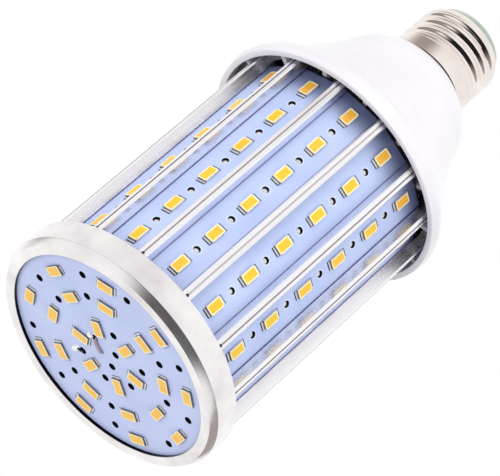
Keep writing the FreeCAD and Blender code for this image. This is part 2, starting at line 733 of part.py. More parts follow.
def end_plate():
    """Moulded plate on the sink's end, with six-sided posts under the driver board."""
    body = new_body("end_plate")
    disc = new_sketch(body, "plate_outline", offset=SINK_END)
    circle(disc, "0", "0", PLATE_RADIUS)
    circle(disc, "0", "0", "Sizes.plate_opening")
    pad(body, disc, "Sizes.plate_thickness", "plate")
    foot = new_sketch(body, "post_outline", offset=PLATE_TOP)
    polygon(foot, *polar(POST_SPREAD, PORT_TURN + " + 45"), "Sizes.post_radius", sides=6)
    post = pad(body, foot, "Sizes.post_height", "post")
    around(body, [post], "Sizes.post_count", "posts")
    layout = new_sketch(body, "screw_hole_layout", offset=SINK_END)
    circle(layout, *polar(PORT_SPREAD, PORT_TURN), "Sizes.port_hole_radius + Sizes.fit_gap")
    screw_hole = pocket(body, layout, "Sizes.plate_thickness", "screw_hole", up=True)
    around(body, [screw_hole], "Sizes.port_count", "screw_holes")
    return body


def plate_screws():
    """Hexagon-head screws through the plate into the sink's ports."""
    body = new_body("plate_screws", compound=True)
    shank = new_sketch(body, "shank_outline", offset=PLATE_TOP)
    circle(shank, *polar(PORT_SPREAD, PORT_TURN), "Sizes.port_hole_radius")
    bolt = pad(body, shank, "Sizes.screw_length", "shank", down=True)
    around(body, [bolt], "Sizes.port_count", "shanks")
    top = new_sketch(body, "head_outline", offset=PLATE_TOP)
    polygon(top, *polar(PORT_SPREAD, PORT_TURN), "Sizes.screw_head_radius", sides=6)
    head = pad(body, top, "Sizes.screw_head_height", "head")
    around(body, [head], "Sizes.port_count", "heads")
    return body


def driver_board():
    """Round circuit board that rests on the plate's posts."""
    body = new_body("driver_board")
    disc = new_sketch(body, "driver_outline", offset=DRIVER_BOTTOM)
    circle(disc, "0", "0", "Sizes.driver_radius")
    pad(body, disc, "Sizes.driver_thickness", "disc")
    return body


def can(label, radius, height, across, along):
    """Upright round component on the driver board."""
    piece = doc.addObject("Part::Cylinder", label)
    piece.Label = label
    piece.setExpression("Radius", radius)
    piece.setExpression("Height", height)
    piece.setExpression("Placement.Base.x", across)
    piece.setExpression("Placement.Base.y", along)
    piece.setExpression("Placement.Base.z", DRIVER_TOP)
    return piece


def block(label, width, depth, height, across, along):
    """Box component centred on a place of the driver board."""
    piece = doc.addObject("Part::Box", label)
    piece.Label = label
    piece.setExpression("Length", width)
    piece.setExpression("Width", depth)
    piece.setExpression("Height", height)
    piece.setExpression("Placement.Base.x", "%s - %s / 2" % (across, width))
    piece.setExpression("Placement.Base.y", "%s - %s / 2" % (along, depth))
    piece.setExpression("Placement.Base.z", DRIVER_TOP)
    return piece


def mains_leads():
    """Leads from the driver board to the contact's stem and to the wall of the cap."""
    gauge = value("wire_radius")
    offset = value("riser_offset")
    floor = number(DRIVER_TOP)
    bend_foot = floor + value("riser_height")
    bend_top = bend_foot + value("riser_slant")
    centre = bent_wire("contact_lead", [
        V(0, -offset, floor), V(0, -offset, bend_foot), V(0, 0, bend_top), V(0, 0, number(STEM_END)),
    ], value("riser_bend"), gauge)
    inside = number(SPIGOT_BORE) - gauge - 3 * value("fit_gap")
    over = number(SKIRT_END) + gauge + value("fit_gap")
    wall = number(THREAD_ROOT) - value("cap_wall") - value("fit_gap")
    aside = -offset + gauge
    back = -2 * offset - 2 * gauge
    shell = bent_wire("shell_lead", [
        V(aside, back, floor), V(aside, back, bend_foot - 2 * value("riser_bend")), V(0, -inside, bend_top),
        V(0, -inside, over), V(0, -wall, over),
    ], value("wire_bend"), gauge)
    return centre, shell


pieces = [heat_sink()]
for strip in range(1, int(value("strip_count")) + 1):
    pieces.append(strip_board(strip))
    pieces.append(strip_lights(strip))
pieces.append(front_ring())
pieces.append(end_board())
pieces.append(end_lights())
end_leads = [end_lead("lead_positive", LEAD_TURNS[0]), end_lead("lead_negative", LEAD_TURNS[1])]
pieces.extend(end_leads)
pieces.append(end_solder(end_leads))
pieces.append(collar())
pieces.append(cap_shell())
pieces.append(cap_insulator())
pieces.append(cap_contact())
pieces.append(end_plate())
pieces.append(plate_screws())
pieces.append(driver_board())
pieces.append(can("driver_capacitor", "Sizes.capacitor_radius", "Sizes.capacitor_height",
                  CAPACITOR_X, CAPACITOR_Y))
pieces.append(can("driver_choke", "Sizes.choke_radius", "Sizes.choke_height", CHOKE_X, CHOKE_Y))
pieces.append(block("driver_transformer", "Sizes.transformer_width", "Sizes.transformer_depth",
                    "Sizes.transformer_height", TRANSFORMER_X, TRANSFORMER_Y))
pieces.append(block("driver_bridge", "Sizes.bridge_width", "Sizes.bridge_depth", "Sizes.bridge_height",
                    BRIDGE_X, BRIDGE_Y))
pieces.extend(mains_leads())
doc.recompute()

for item in doc.Objects:
    if "Invalid" in item.State or "Error" in item.State:
        raise RuntimeError("%s failed: %s" % (item.Name, item.State))
for piece in pieces:
    if piece.Shape.isNull() or not piece.Shape.isValid():
        raise RuntimeError("%s has no valid shape" % piece.Label)

os.makedirs(PARTS, exist_ok=True)
for piece in pieces:
    piece.Shape.exportStep(os.path.join(PARTS, piece.Label + ".step"))
    print("%-22s solids %2d volume %10.2f" % (piece.Label, len(piece.Shape.Solids), piece.Shape.Volume))
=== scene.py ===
"""Corn LED bulb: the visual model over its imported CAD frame.

Every piece is built in millimetres and stored in metres, in the frame of the CAD model: the bulb stands on
the front face of its end ring at Z = 0, and the screw cap points to +Z.
"""

import logging
import math
from dataclasses import dataclass, field
from enum import Enum
from typing import Any, Callable, Mapping, Sequence

import bmesh
import bpy
from mathutils import Matrix, Vector


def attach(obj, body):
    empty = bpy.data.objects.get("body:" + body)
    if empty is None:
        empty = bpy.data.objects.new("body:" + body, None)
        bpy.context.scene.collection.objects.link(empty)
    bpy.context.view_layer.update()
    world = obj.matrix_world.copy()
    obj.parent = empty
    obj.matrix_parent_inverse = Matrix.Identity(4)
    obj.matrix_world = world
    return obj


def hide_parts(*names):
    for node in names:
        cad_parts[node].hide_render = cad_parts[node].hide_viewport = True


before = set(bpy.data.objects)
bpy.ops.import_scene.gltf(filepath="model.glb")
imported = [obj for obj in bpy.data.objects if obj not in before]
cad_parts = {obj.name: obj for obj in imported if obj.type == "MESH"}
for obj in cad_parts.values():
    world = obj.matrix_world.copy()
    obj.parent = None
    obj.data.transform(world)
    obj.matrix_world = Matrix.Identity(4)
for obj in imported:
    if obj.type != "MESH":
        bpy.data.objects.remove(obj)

MM = 0.001
STRIP_COUNT = 14
STRIP_STEP = math.tau / STRIP_COUNT
FIRST_STRIP = -math.pi / 2 + STRIP_STEP / 2
PER_STRIP = 6
FIRST_LIGHT = 16.7
LIGHT_PITCH = 13.4
LAST_LIGHT = FIRST_LIGHT + (PER_STRIP - 1) * LIGHT_PITCH
END_FRONT = 1.1
LOG = logging.getLogger("corn_bulb")

Colour = tuple[float, float, float]
Tone = tuple[int, int, int]
Point2 = tuple[float, float]
Point3 = tuple[float, float, float]
Socket = bpy.types.NodeSocket
Mesh = bmesh.types.BMesh

# Lays a part that faces +Z so that it faces outwards along +X, with its own X downwards.
OUTWARD = Matrix(((0, 0, 1, 0), (0, 1, 0, 0), (-1, 0, 0, 0), (0, 0, 0, 1)))
BOTH_WAYS = (Matrix.Identity(4), Matrix.Rotation(math.pi, 4, "Z"))
WARM = (1.0, 0.9, 0.84)

# Display colours that are painted over parts of a finish; all but the two phosphor colours are painted shade
# or a painted highlight.
GROOVE_PAINTED_SHADE = (206, 200, 206)
BORE_PAINTED_SHADE = (16, 16, 22)
VENT_PAINTED_SHADE = (14, 14, 18)
GAP_PAINTED_SHADE = (8, 8, 12)
VENT_PAINTED_HIGHLIGHT = (232, 238, 255)
BOARD_EDGE_PAINTED_SHADE = (128, 132, 186)
BOARD_SHADED = (50, 60, 106)
PHOSPHOR_GREENISH = (238, 208, 30)
PHOSPHOR_DEEP = (255, 184, 62)


def srgb(red: int, green: int, blue: int) -> Colour:
    """Turn a display colour into the linear values that shaders take.

    Args:
        red, green, blue: Channels from 0 to 255.

    Returns:
        The linear colour.
    """
    def linear(channel: int) -> float:
        """Linear value of one channel."""
        part = channel / 255.0
        return part / 12.92 if part <= 0.04045 else ((part + 0.055) / 1.055) ** 2.4
    return linear(red), linear(green), linear(blue)


def strip_angle(index: float) -> float:
    """Angle about Z in radians of a strip's middle, numbered from 0; a half gives the rib after it."""
    return FIRST_STRIP + index * STRIP_STEP


def on_strips(radius: float, heights: Sequence[float], offset: float = 0.0) -> list[Matrix]:
    """Find places on every strip, each turned to face outwards.

    Args:
        radius: Distance from the axis.
        heights: Heights of the places on each strip.
        offset: Share of a strip's step by which all are turned; a half gives the ribs.

    Returns:
        A matrix for each place, strip by strip.
    """
    places = []
    for strip in range(STRIP_COUNT):
        turn = Matrix.Rotation(strip_angle(strip + offset), 4, "Z")
        places += [turn @ Matrix.Translation((radius, 0, height)) @ OUTWARD for height in heights]
    return places


class Graph:
    """A node tree that is filled by short calls."""

    def __init__(self, tree: bpy.types.NodeTree) -> None:
        """Keep the tree that is filled."""
        self.tree = tree

    def add(self, kind: str, inputs: Mapping[Any, Any] | None = None, **settings: Any) -> bpy.types.Node:
        """Add one node.

        Args:
            kind: Blender's type name of the node.
            inputs: Values or sockets by the name or number of the input.
            settings: Other properties of the node.

        Returns:
            The new node.
        """
        node = self.tree.nodes.new(kind)
        for name, setting in settings.items():
            setattr(node, name, setting)
        for key, given in (inputs or {}).items():
            if isinstance(given, Socket):
                self.tree.links.new(given, node.inputs[key])
            else:
                node.inputs[key].default_value = given
        return node

    def math(self, operation: str, first: Any, second: Any = 0.0) -> Socket:
        """Add a Math node on two values or sockets and give its result."""
        return self.add("ShaderNodeMath", {0: first, 1: second}, operation=operation).outputs[0]

    def vector(self, operation: str, first: Any, second: Any = (0.0, 0.0, 0.0)) -> Socket:
        """Add a Vector Math node and give its result, a number for LENGTH and a vector otherwise."""
        node = self.add("ShaderNodeVectorMath", {0: first, 1: second}, operation=operation)
        return node.outputs["Value" if operation == "LENGTH" else "Vector"]

    def ramp(self, factor: Socket, low: float, high: float, start: float = 0.0, end: float = 1.0,
             smooth: bool = False) -> Socket:
        """Map a factor from one range to another.

        Args:
            factor: Socket to map.
            low, high: Range of the result.
            start, end: Range of the factor.
            smooth: Whether the change eases in and out.

        Returns:
            The mapped value.
        """
        node = self.add("ShaderNodeMapRange", {"Value": factor, "From Min": start, "From Max": end,
                                               "To Min": low, "To Max": high})
        if smooth:
            node.interpolation_type = "SMOOTHSTEP"
        return node.outputs["Result"]

    def blend(self, factor: Any, first: Any, second: Tone) -> Socket:
        """Mix two colours.

        Args:
            factor: Share of the second colour.
            first: Display colour or socket.
            second: Display colour.

        Returns:
            The mixed colour.
        """
        start = first if isinstance(first, Socket) else (*srgb(*first), 1.0)
        node = self.add("ShaderNodeMix", {0: factor, 6: start, 7: (*srgb(*second), 1.0)}, data_type="RGBA")
        return node.outputs[2]

    def show_through(self, share: Socket, shader: bpy.types.Node) -> None:
        """Send a shader to the material's output, clear where its share is low.

        Args:
            share: Share of the shader.
            shader: Its node.
        """
        clear = self.add("ShaderNodeBsdfTransparent").outputs[0]
        mixed = self.add("ShaderNodeMixShader", {0: share, 1: clear, 2: shader.outputs[0]}).outputs[0]
        self.add("ShaderNodeOutputMaterial", {"Surface": mixed})


def clear_graph(owner: bpy.types.ID) -> Graph:
    """Empty the node tree of a material or world.

    Args:
        owner: The material or world.

    Returns:
        Its tree, ready to be filled.
    """
    owner.use_nodes = True
    owner.node_tree.nodes.clear()
    return Graph(owner.node_tree)


class Effect(Enum):
    """Shader groups that several finishes share."""

    MOTTLE = "mottle"
    DRAWN = "drawn_lines"
    TURNED = "turned_lines"


def effect_group(effect: Effect) -> bpy.types.ShaderNodeTree:
    """Make a shared shader group, or find it if it was made before.

    Each group takes Scale and gives Value, from 0 to 1, and Height, a finer pattern for bump.

    Args:
        effect: Which pattern.

    Returns:
        The node group.
    """
    known = bpy.data.node_groups.get(effect.value)
    if known is not None:
        return known
    tree = bpy.data.node_groups.new(effect.value, "ShaderNodeTree")
    scale = tree.interface.new_socket("Scale", in_out="INPUT", socket_type="NodeSocketFloat")
    scale.default_value = 200.0
    tree.interface.new_socket("Value", in_out="OUTPUT", socket_type="NodeSocketFloat")
    tree.interface.new_socket("Height", in_out="OUTPUT", socket_type="NodeSocketFloat")
    graph = Graph(tree)
    given = graph.add("NodeGroupInput")
    place = graph.add("ShaderNodeTexCoord").outputs["Object"]
    if effect is Effect.DRAWN:
        place = graph.vector("MULTIPLY", place, (1.0, 1.0, 0.012))
    elif effect is Effect.TURNED:
        flat = graph.vector("MULTIPLY", place, (1.0, 1.0, 0.0))
        height = graph.add("ShaderNodeSeparateXYZ", {0: place}).outputs[2]
        line = graph.add("ShaderNodeCombineXYZ", {0: graph.vector("LENGTH", flat), 2: height}).outputs[0]
        place = graph.vector("ADD", line, graph.vector("MULTIPLY", flat, (0.03, 0.03, 0.0)))
    coarse = graph.add("ShaderNodeTexNoise", {"Vector": place, "Scale": given.outputs["Scale"],
                                              "Detail": 3.0, "Roughness": 0.55})
    finer = graph.math("MULTIPLY", given.outputs["Scale"], 5.0)
    fine = graph.add("ShaderNodeTexNoise", {"Vector": place, "Scale": finer, "Detail": 2.0})
    value = graph.ramp(coarse.outputs["Fac"], 0.0, 1.0, 0.32, 0.68)
    graph.add("NodeGroupOutput", {"Value": value, "Height": fine.outputs["Fac"]})
    return tree


@dataclass(frozen=True)
class Finish:
    """A surface with two tones, mixed by a shared pattern, with its own roughness and relief."""

    name: str
    low: Tone
    high: Tone
    scale: float
    roughness: Point2
    metallic: float = 0.0
    bump: float = 0.0
    coat: float = 0.0
    effect: Effect = Effect.MOTTLE
    shade: Callable[["Paint"], None] | None = None
    coat_roughness: float = 0.12
    relief_depth: float = 0.00008

    def make(self) -> bpy.types.Material:
        """Make the material.

        Returns:
            A node material, with its pattern in Object coordinates.
        """
        material = bpy.data.materials.new(self.name)
        graph = clear_graph(material)
        pattern = graph.add("ShaderNodeGroup", {"Scale": self.scale}, node_tree=effect_group(self.effect))
        tone = graph.blend(pattern.outputs["Value"], self.low, self.high)
        if self.shade is not None:
            paint = Paint(graph, tone)
            self.shade(paint)
            tone = paint.tone
        rough = graph.ramp(pattern.outputs["Value"], *self.roughness)
        shader = graph.add("ShaderNodeBsdfPrincipled", {
            "Base Color": tone, "Roughness": rough, "Metallic": self.metallic, "Coat Weight": self.coat,
            "Coat Roughness": self.coat_roughness})
        if self.bump > 0.0:
            relief = graph.add("ShaderNodeBump", {"Height": pattern.outputs["Height"],
                                                  "Strength": self.bump, "Distance": self.relief_depth})
            graph.tree.links.new(relief.outputs["Normal"], shader.inputs["Normal"])
        graph.add("ShaderNodeOutputMaterial", {"Surface": shader.outputs[0]})
        return material


def polar_parts(graph: Graph) -> tuple[Socket, Socket, Socket]:
    """Split a place into its angle about Z, its radius and its height.

    Args:
        graph: Tree of the material.

    Returns:
        Angle in radians, radius and height in millimetres.
    """
    place = graph.add("ShaderNodeTexCoord").outputs["Object"]
    parts = graph.add("ShaderNodeSeparateXYZ", {0: place}).outputs
    radius = graph.vector("LENGTH", graph.vector("MULTIPLY", place, (1.0, 1.0, 0.0)))
    turn = graph.math("ARCTAN2", parts[1], parts[0])
    return turn, graph.math("DIVIDE", radius, MM), graph.math("DIVIDE", parts[2], MM)


def fold(graph: Graph, given: Socket, middle: float, period: float) -> Socket:
    """Give a coordinate's signed distance from the nearest of a row of middles, one period apart."""
    shifted = graph.math("SUBTRACT", given, middle - period / 2)
    return graph.math("SUBTRACT", graph.math("FLOORED_MODULO", shifted, period), period / 2)


class Paint:
    """Colour of a material that changes from place to place.

    It knows each place's angle about Z in radians (turn), and its radius and height in millimetres.
    """

    def __init__(self, graph: Graph, tone: Socket) -> None:
        """Start from a plain colour.

        Args:
            graph: Tree of the material.
            tone: The colour to paint over.
        """
        self.graph = graph
        self.tone = tone
        self.turn, self.radius, self.height = polar_parts(graph)

    def lay(self, share: Socket, colour: Tone) -> None:
        """Paint a share of a display colour over the colour so far."""
        self.tone = self.graph.blend(share, self.tone, colour)

    def aside(self, offset: float = 0.0) -> Socket:
        """Signed distance in millimetres from the nearest strip's middle, or rib's with a half as offset."""
        away = fold(self.graph, self.turn, strip_angle(offset), STRIP_STEP)
        return self.graph.math("MULTIPLY", self.radius, self.graph.math("SINE", away))


def sink_shade(paint: Paint, groove_half: float = 0.3, groove_top: float = 34.34) -> None:
    """Paint shade into the fine groove along each rib.

    Args:
        paint: Colour of the heat sink.
        groove_half: Half the width that gets the painted shade.
        groove_top: Radius under which the painted shade lies.
    """
    graph = paint.graph
    within = graph.math("LESS_THAN", graph.math("ABSOLUTE", paint.aside(0.5)), groove_half)
    below = graph.math("LESS_THAN", paint.radius, groove_top)
    paint.lay(graph.math("MULTIPLY", within, below), GROOVE_PAINTED_SHADE)


def ring_shade(paint: Paint, bore_radius: float = 31.55, edge: float = 0.15) -> None:
    """Paint shade over the bore of the ring's lip, which nothing lights.

    Args:
        paint: Colour of the ring.
        bore_radius: Radius within which the bore lies.
        edge: Height of the rounded edge that stays bright.
    """
    graph = paint.graph
    inside = graph.math("LESS_THAN", paint.radius, bore_radius)
    above = graph.math("GREATER_THAN", paint.height, edge)
    paint.lay(graph.math("MULTIPLY", inside, above), BORE_PAINTED_SHADE)


def strip_shade(paint: Paint, vent_radius: float = 1.0, halo: Point2 = (1.2, 1.45), edge_half: float = 5.25,
                shaded: Point2 = (78.0, 89.0), end_reach: float = 5.9) -> None:
    """Paint a strip's vents and edges, and darken it towards the collar, where the rim shades it: painted
    shade in the vents, along the edges, towards the collar and in the gap under the rim, with a painted
    highlight round each vent.

    Args:
        paint: Colour of the strips.
        vent_radius: Radius of the vents.
        halo: Radii between which the painted highlight round a vent fades away.
        edge_half: Half the width between the edges that get painted shade, where the ribs' lips overhang the
            board.
        shaded: Heights between which the shade grows.
        end_reach: Distance from the last light to the painted shade of the gap under the rim, where the
            board is painted black.
    """
    graph = paint.graph
    across = paint.aside()
    along = fold(graph, paint.height, FIRST_LIGHT + LIGHT_PITCH / 2, LIGHT_PITCH)
    beyond = graph.math("MULTIPLY", graph.math("GREATER_THAN", paint.height, LAST_LIGHT), LIGHT_PITCH)
    away = graph.vector("LENGTH", graph.add("ShaderNodeCombineXYZ", {0: across, 1: along}).outputs[0])
    away = graph.math("ADD", away, beyond)
    # Painted highlight: a pale ring round each vent.
    paint.lay(graph.ramp(away, 0.55, 0.0, *halo), VENT_PAINTED_HIGHLIGHT)
    # Painted shade: each vent is painted near-black, the shade deep in the hole.
    paint.lay(graph.math("LESS_THAN", away, vent_radius), VENT_PAINTED_SHADE)
    # Painted shade: a thin dark line along each edge, under the ribs' lips.
    paint.lay(graph.math("GREATER_THAN", graph.math("ABSOLUTE", across), edge_half), BOARD_EDGE_PAINTED_SHADE)
    paint.lay(graph.ramp(paint.height, 0.0, 0.8, *shaded, smooth=True), BOARD_SHADED)
    # Painted shade: the board's end is painted black as the dark gap under the collar's rim.
    gap = LAST_LIGHT + end_reach
    paint.lay(graph.ramp(paint.height, 0.0, 1.0, gap, gap + 0.15), GAP_PAINTED_SHADE)


def disc_shade(paint: Paint) -> None:
    """Paint shade over all behind the round board's front: the walls of its vents and its back."""
    paint.lay(paint.graph.math("GREATER_THAN", paint.height, END_FRONT + 0.04), VENT_PAINTED_SHADE)


def phosphor_shade(paint: Paint, deepened: Point2 = (76.0, 80.0)) -> None:
    """Vary the phosphor from one light to the next and make it deeper towards the collar.

    Args:
        paint: Colour of the gel.
        deepened: Heights between which it grows deeper.
    """
    graph = paint.graph
    place = graph.add("ShaderNodeTexCoord").outputs["Object"]
    cells = graph.add("ShaderNodeTexNoise", {"Vector": place, "Scale": 75.0, "Detail": 0.0})
    paint.lay(graph.ramp(cells.outputs["Fac"], 0.0, 0.6, 0.35, 0.7), PHOSPHOR_GREENISH)
    paint.lay(graph.ramp(paint.height, 0.0, 0.8, *deepened), PHOSPHOR_DEEP)


class Palette(Enum):
    """Every finish of the bulb: its name, two display colours, size of pattern and range of roughness."""

    SINK = Finish("drawn_aluminium", (243, 241, 244), (254, 253, 254), 900.0, (0.22, 0.3), metallic=1.0,
                  bump=0.02, effect=Effect.DRAWN, shade=sink_shade)
    RING = Finish("turned_aluminium", (224, 219, 220), (254, 251, 251), 70.0, (0.14, 0.26), metallic=1.0,
                  bump=0.06, shade=ring_shade)
    STRIP_MASK = Finish("strip_solder_mask", (186, 202, 246), (200, 214, 254), 60.0, (0.3, 0.42), coat=0.25,
                        shade=strip_shade)
    END_MASK = Finish("end_solder_mask", (192, 204, 247), (204, 215, 253), 60.0, (0.32, 0.45), coat=0.2,
                      shade=disc_shade)
    PACKAGE = Finish("light_package_plastic", (254, 242, 188), (255, 249, 216), 400.0, (0.35, 0.5),
                     bump=0.05)
    # Greyer copies of the package's white plastic: painted shade on the ends and flanks of the lights.
    PACKAGE_SIDE = Finish("light_package_side_painted_shade", (92, 92, 106), (126, 126, 140), 400.0, (0.4, 0.55),
                          bump=0.05)
    PACKAGE_FLANK = Finish("light_package_flank_painted_shade", (206, 206, 218), (226, 226, 236), 400.0, (0.4, 0.55),
                           bump=0.05)
    STRIP_ENDS = Finish("strip_light_end_painted_shade", (104, 100, 112), (136, 132, 144), 400.0, (0.4, 0.55), bump=0.05)
    # Pale discs in the cooling holes: the sink's floor, painted as a pool of light.
    VENT_FLOOR = Finish("vent_floor_painted_light", (238, 238, 242), (252, 252, 254), 500.0, (0.5, 0.6),
                        bump=0.05)
    PHOSPHOR = Finish("phosphor_gel", (252, 190, 34), (255, 205, 52), 260.0, (0.25, 0.4), coat=0.3,
                      shade=phosphor_shade)
    END_PHOSPHOR = Finish("end_phosphor_gel", (254, 190, 58), (255, 206, 80), 260.0, (0.3, 0.4), coat=0.2)
    SOLDER = Finish("tinned_solder", (232, 232, 236), (254, 254, 255), 900.0, (0.3, 0.45), metallic=0.4,
                    bump=0.08)
    # Dark finish of the mask openings, which are partly painted shade, and of the rib bores, which are
    # painted shade.
    PAD_GAP = Finish("bare_laminate_and_painted_shade", (38, 38, 48), (62, 60, 70), 700.0, (0.5, 0.7))
    COLLAR = Finish("glossy_white_plastic", (233, 229, 235), (239, 236, 241), 45.0, (0.16, 0.22), coat=0.3,
                    bump=0.01)
    # The collar's white plastic painted grey inside: painted shade, as no light gets in.
    COLLAR_INSIDE = Finish("inner_plastic_painted_shade", (122, 120, 126), (146, 143, 150), 120.0, (0.5, 0.6))
    NICKEL = Finish("plated_nickel", (232, 222, 216), (247, 240, 235), 110.0, (0.06, 0.12), metallic=1.0,
                    bump=0.02)
    # Dark finish for the ring at the shell's foot: painted shade in the crevice under the collar's neck.
    SEAL = Finish("neck_line_painted_shade", (44, 40, 42), (70, 64, 66), 300.0, (0.5, 0.6))
    INSULATOR = Finish("grey_green_glass", (158, 170, 158), (190, 200, 190), 200.0, (0.2, 0.3), coat=0.2)
    CONTACT = Finish("contact_metal", (206, 200, 192), (236, 230, 222), 700.0, (0.2, 0.35), metallic=1.0,
                     bump=0.1, effect=Effect.TURNED)
    RED_SLEEVE = Finish("red_sleeve", (176, 60, 58), (196, 80, 74), 300.0, (0.35, 0.45))
    GREY_SLEEVE = Finish("pinkish_grey_sleeve", (150, 136, 146), (174, 158, 168), 300.0, (0.35, 0.45))
    BLACK_SLEEVE = Finish("black_sleeve", (24, 24, 27), (38, 38, 42), 300.0, (0.35, 0.45))
    INNER_PLASTIC = Finish("inner_plastic", (224, 224, 220), (238, 238, 234), 120.0, (0.4, 0.5), bump=0.03)
    STEEL = Finish("zinc_steel", (168, 170, 172), (198, 200, 202), 900.0, (0.25, 0.4), metallic=1.0,
                   effect=Effect.TURNED)
    LAMINATE = Finish("green_laminate", (34, 92, 56), (46, 110, 68), 140.0, (0.35, 0.5))
    CAN = Finish("capacitor_sleeve", (26, 34, 62), (36, 46, 80), 160.0, (0.3, 0.4))
    CHOKE = Finish("choke_sleeve", (30, 30, 32), (48, 48, 52), 160.0, (0.3, 0.45))
    CORE = Finish("transformer_tape", (206, 172, 50), (224, 192, 74), 160.0, (0.4, 0.5))
    CASE = Finish("component_case", (22, 22, 24), (34, 34, 37), 400.0, (0.45, 0.6))

    def material(self) -> bpy.types.Material:
        """Find this finish's material, made on its first use."""
        return bpy.data.materials.get(self.value.name) or self.value.make()


def arc(start: Point2, end: Point2, rise: float, steps: int) -> list[Point2]:
    """Points of an arc, without its last point.

    Args:
        start, end: Ends of the arc, as (radius, height).
        rise: Height of the arc over its chord, to the left of the way when positive.
        steps: Number of runs.

    Returns:
        The points from start up to, but not including, end.
    """
    chord = Vector(end) - Vector(start)
    half = chord.length / 2
    radius = (half * half + rise * rise) / (2 * abs(rise))
    left = Vector((-chord.y, chord.x)).normalized()
    side = math.copysign(1.0, rise)
    centre = (Vector(start) + Vector(end)) / 2 + left * (rise - side * radius)
    sweep = 2 * math.asin(min(1.0, half / radius))
    first = Vector(start) - centre
    points = []
    for step in range(steps):
        turn = -side * sweep * step / steps
        points.append((centre.x + first.x * math.cos(turn) - first.y * math.sin(turn),
                       centre.y + first.x * math.sin(turn) + first.y * math.cos(turn)))
    return points


def rounded(corners: Sequence[Point3], steps: int = 3) -> list[Point2]:
    """Round the corners of a closed outline.

    Args:
        corners: Corners as (radius, height, radius of the rounding).
        steps: Number of runs in each rounding.

    Returns:
        The points of the outline.
    """
    points: list[Point2] = []
    count = len(corners)
    for index, (x, y, fillet) in enumerate(corners):
        if fillet <= 0.0:
            points.append((x, y))
            continue
        here = Vector((x, y))
        before = (Vector(corners[index - 1][:2]) - here).normalized()
        after = (Vector(corners[(index + 1) % count][:2]) - here).normalized()
        half = before.angle(after) / 2
        reach = fillet / math.tan(half)
        enter = here + before * reach
        leave = here + after * reach
        for step in range(steps + 1):
            share = step / steps
            first = enter.lerp(here, share)
            second = here.lerp(leave, share)
            place = first.lerp(second, share)
            points.append((place.x, place.y))
    return points


def lathe(points: Sequence[Point2], steps: int, closed: bool) -> Mesh:
    """Turn an outline of (radius, height) about Z.

    Args:
        points: Outline in millimetres.
        steps: Number of faces round the axis.
        closed: Whether the last point joins the first.

    Returns:
        The mesh.
    """
    mesh = bmesh.new()
    line = [mesh.verts.new((radius, 0.0, height)) for radius, height in points]
    edges = [mesh.edges.new(pair) for pair in zip(line, line[1:])]
    if closed:
        edges.append(mesh.edges.new((line[-1], line[0])))
    bmesh.ops.spin(mesh, geom=line + edges, cent=(0, 0, 0), axis=(0, 0, 1), angle=math.tau, steps=steps,
                   use_merge=True)
    bmesh.ops.remove_doubles(mesh, verts=mesh.verts, dist=1e-4)
    return mesh


def bevel_edges(mesh: Mesh, edges: Sequence[bmesh.types.BMEdge], width: float, steps: int = 2) -> None:
    """Bevel edges of a mesh in place, by a width in millimetres with so many faces across."""
    bmesh.ops.bevel(mesh, geom=edges, offset=width, segments=steps, profile=0.5, affect="EDGES", material=-1)


def block(size: Sequence[float], centre: Sequence[float], bevel: float = 0.0) -> Mesh:
    """Box with bevelled edges.

    Args:
        size: Lengths along X, Y and Z in millimetres.
        centre: Its middle.
        bevel: Width of the bevel.

    Returns:
        The mesh.
    """
    mesh = bmesh.new()
    bmesh.ops.create_cube(mesh, size=1.0)
    bmesh.ops.scale(mesh, vec=Vector(size), verts=mesh.verts)
    bmesh.ops.translate(mesh, vec=Vector(centre), verts=mesh.verts)
    if bevel > 0.0:
        bevel_edges(mesh, list(mesh.edges), bevel)
    return mesh


def tube(points: Sequence[Sequence[float]], radius: float, sides: int = 10) -> Mesh:
    """Round wire along a line of points, with closed ends.

    Args:
        points: Places in millimetres.
        radius: Radius of the wire.
        sides: Number of faces round it.

    Returns:
        The mesh.
    """
    mesh = bmesh.new()
    places = [Vector(point) for point in points]
    rings = []
    for index, place in enumerate(places):
        way = places[min(index + 1, len(places) - 1)] - places[max(index - 1, 0)]
        turn = Matrix.Translation(place) @ way.to_track_quat("Z", "Y").to_matrix().to_4x4()
        rings.append(bmesh.ops.create_circle(mesh, segments=sides, radius=radius, matrix=turn)["verts"])
    for first, second in zip(rings, rings[1:]):
        for side in range(sides):
            after = (side + 1) % sides
            mesh.faces.new((first[side], first[after], second[after], second[side]))
    mesh.faces.new(rings[0])
    mesh.faces.new(rings[-1])
    return mesh


def gather(meshes: Sequence[Mesh], places: Sequence[Matrix]) -> Mesh:
    """Join copies of meshes, each mesh at every place.

    Args:
        meshes: The meshes.
        places: The matrices that place them.

    Returns:
        One mesh.
    """
    whole = bmesh.new()
    for mesh in meshes:
        data = bpy.data.meshes.new("part")
        mesh.to_mesh(data)
        for place in places:
            start = len(whole.verts)
            whole.from_mesh(data)
            whole.verts.ensure_lookup_table()
            bmesh.ops.transform(whole, matrix=place, verts=whole.verts[start:])
        bpy.data.meshes.remove(data)
    return whole


def new_object(name: str, content: Mesh | bpy.types.ID) -> bpy.types.Object:
    """Put a mesh, a light or a camera into the scene.

    Args:
        name: Name of the object.
        content: Its mesh, which is used up, or its other data.

    Returns:
        The object.
    """
    data = content
    if isinstance(content, Mesh):
        data = bpy.data.meshes.new(name)
        content.to_mesh(data)
        content.free()
    made = bpy.data.objects.new(name, data)
    bpy.context.scene.collection.objects.link(made)
    return made


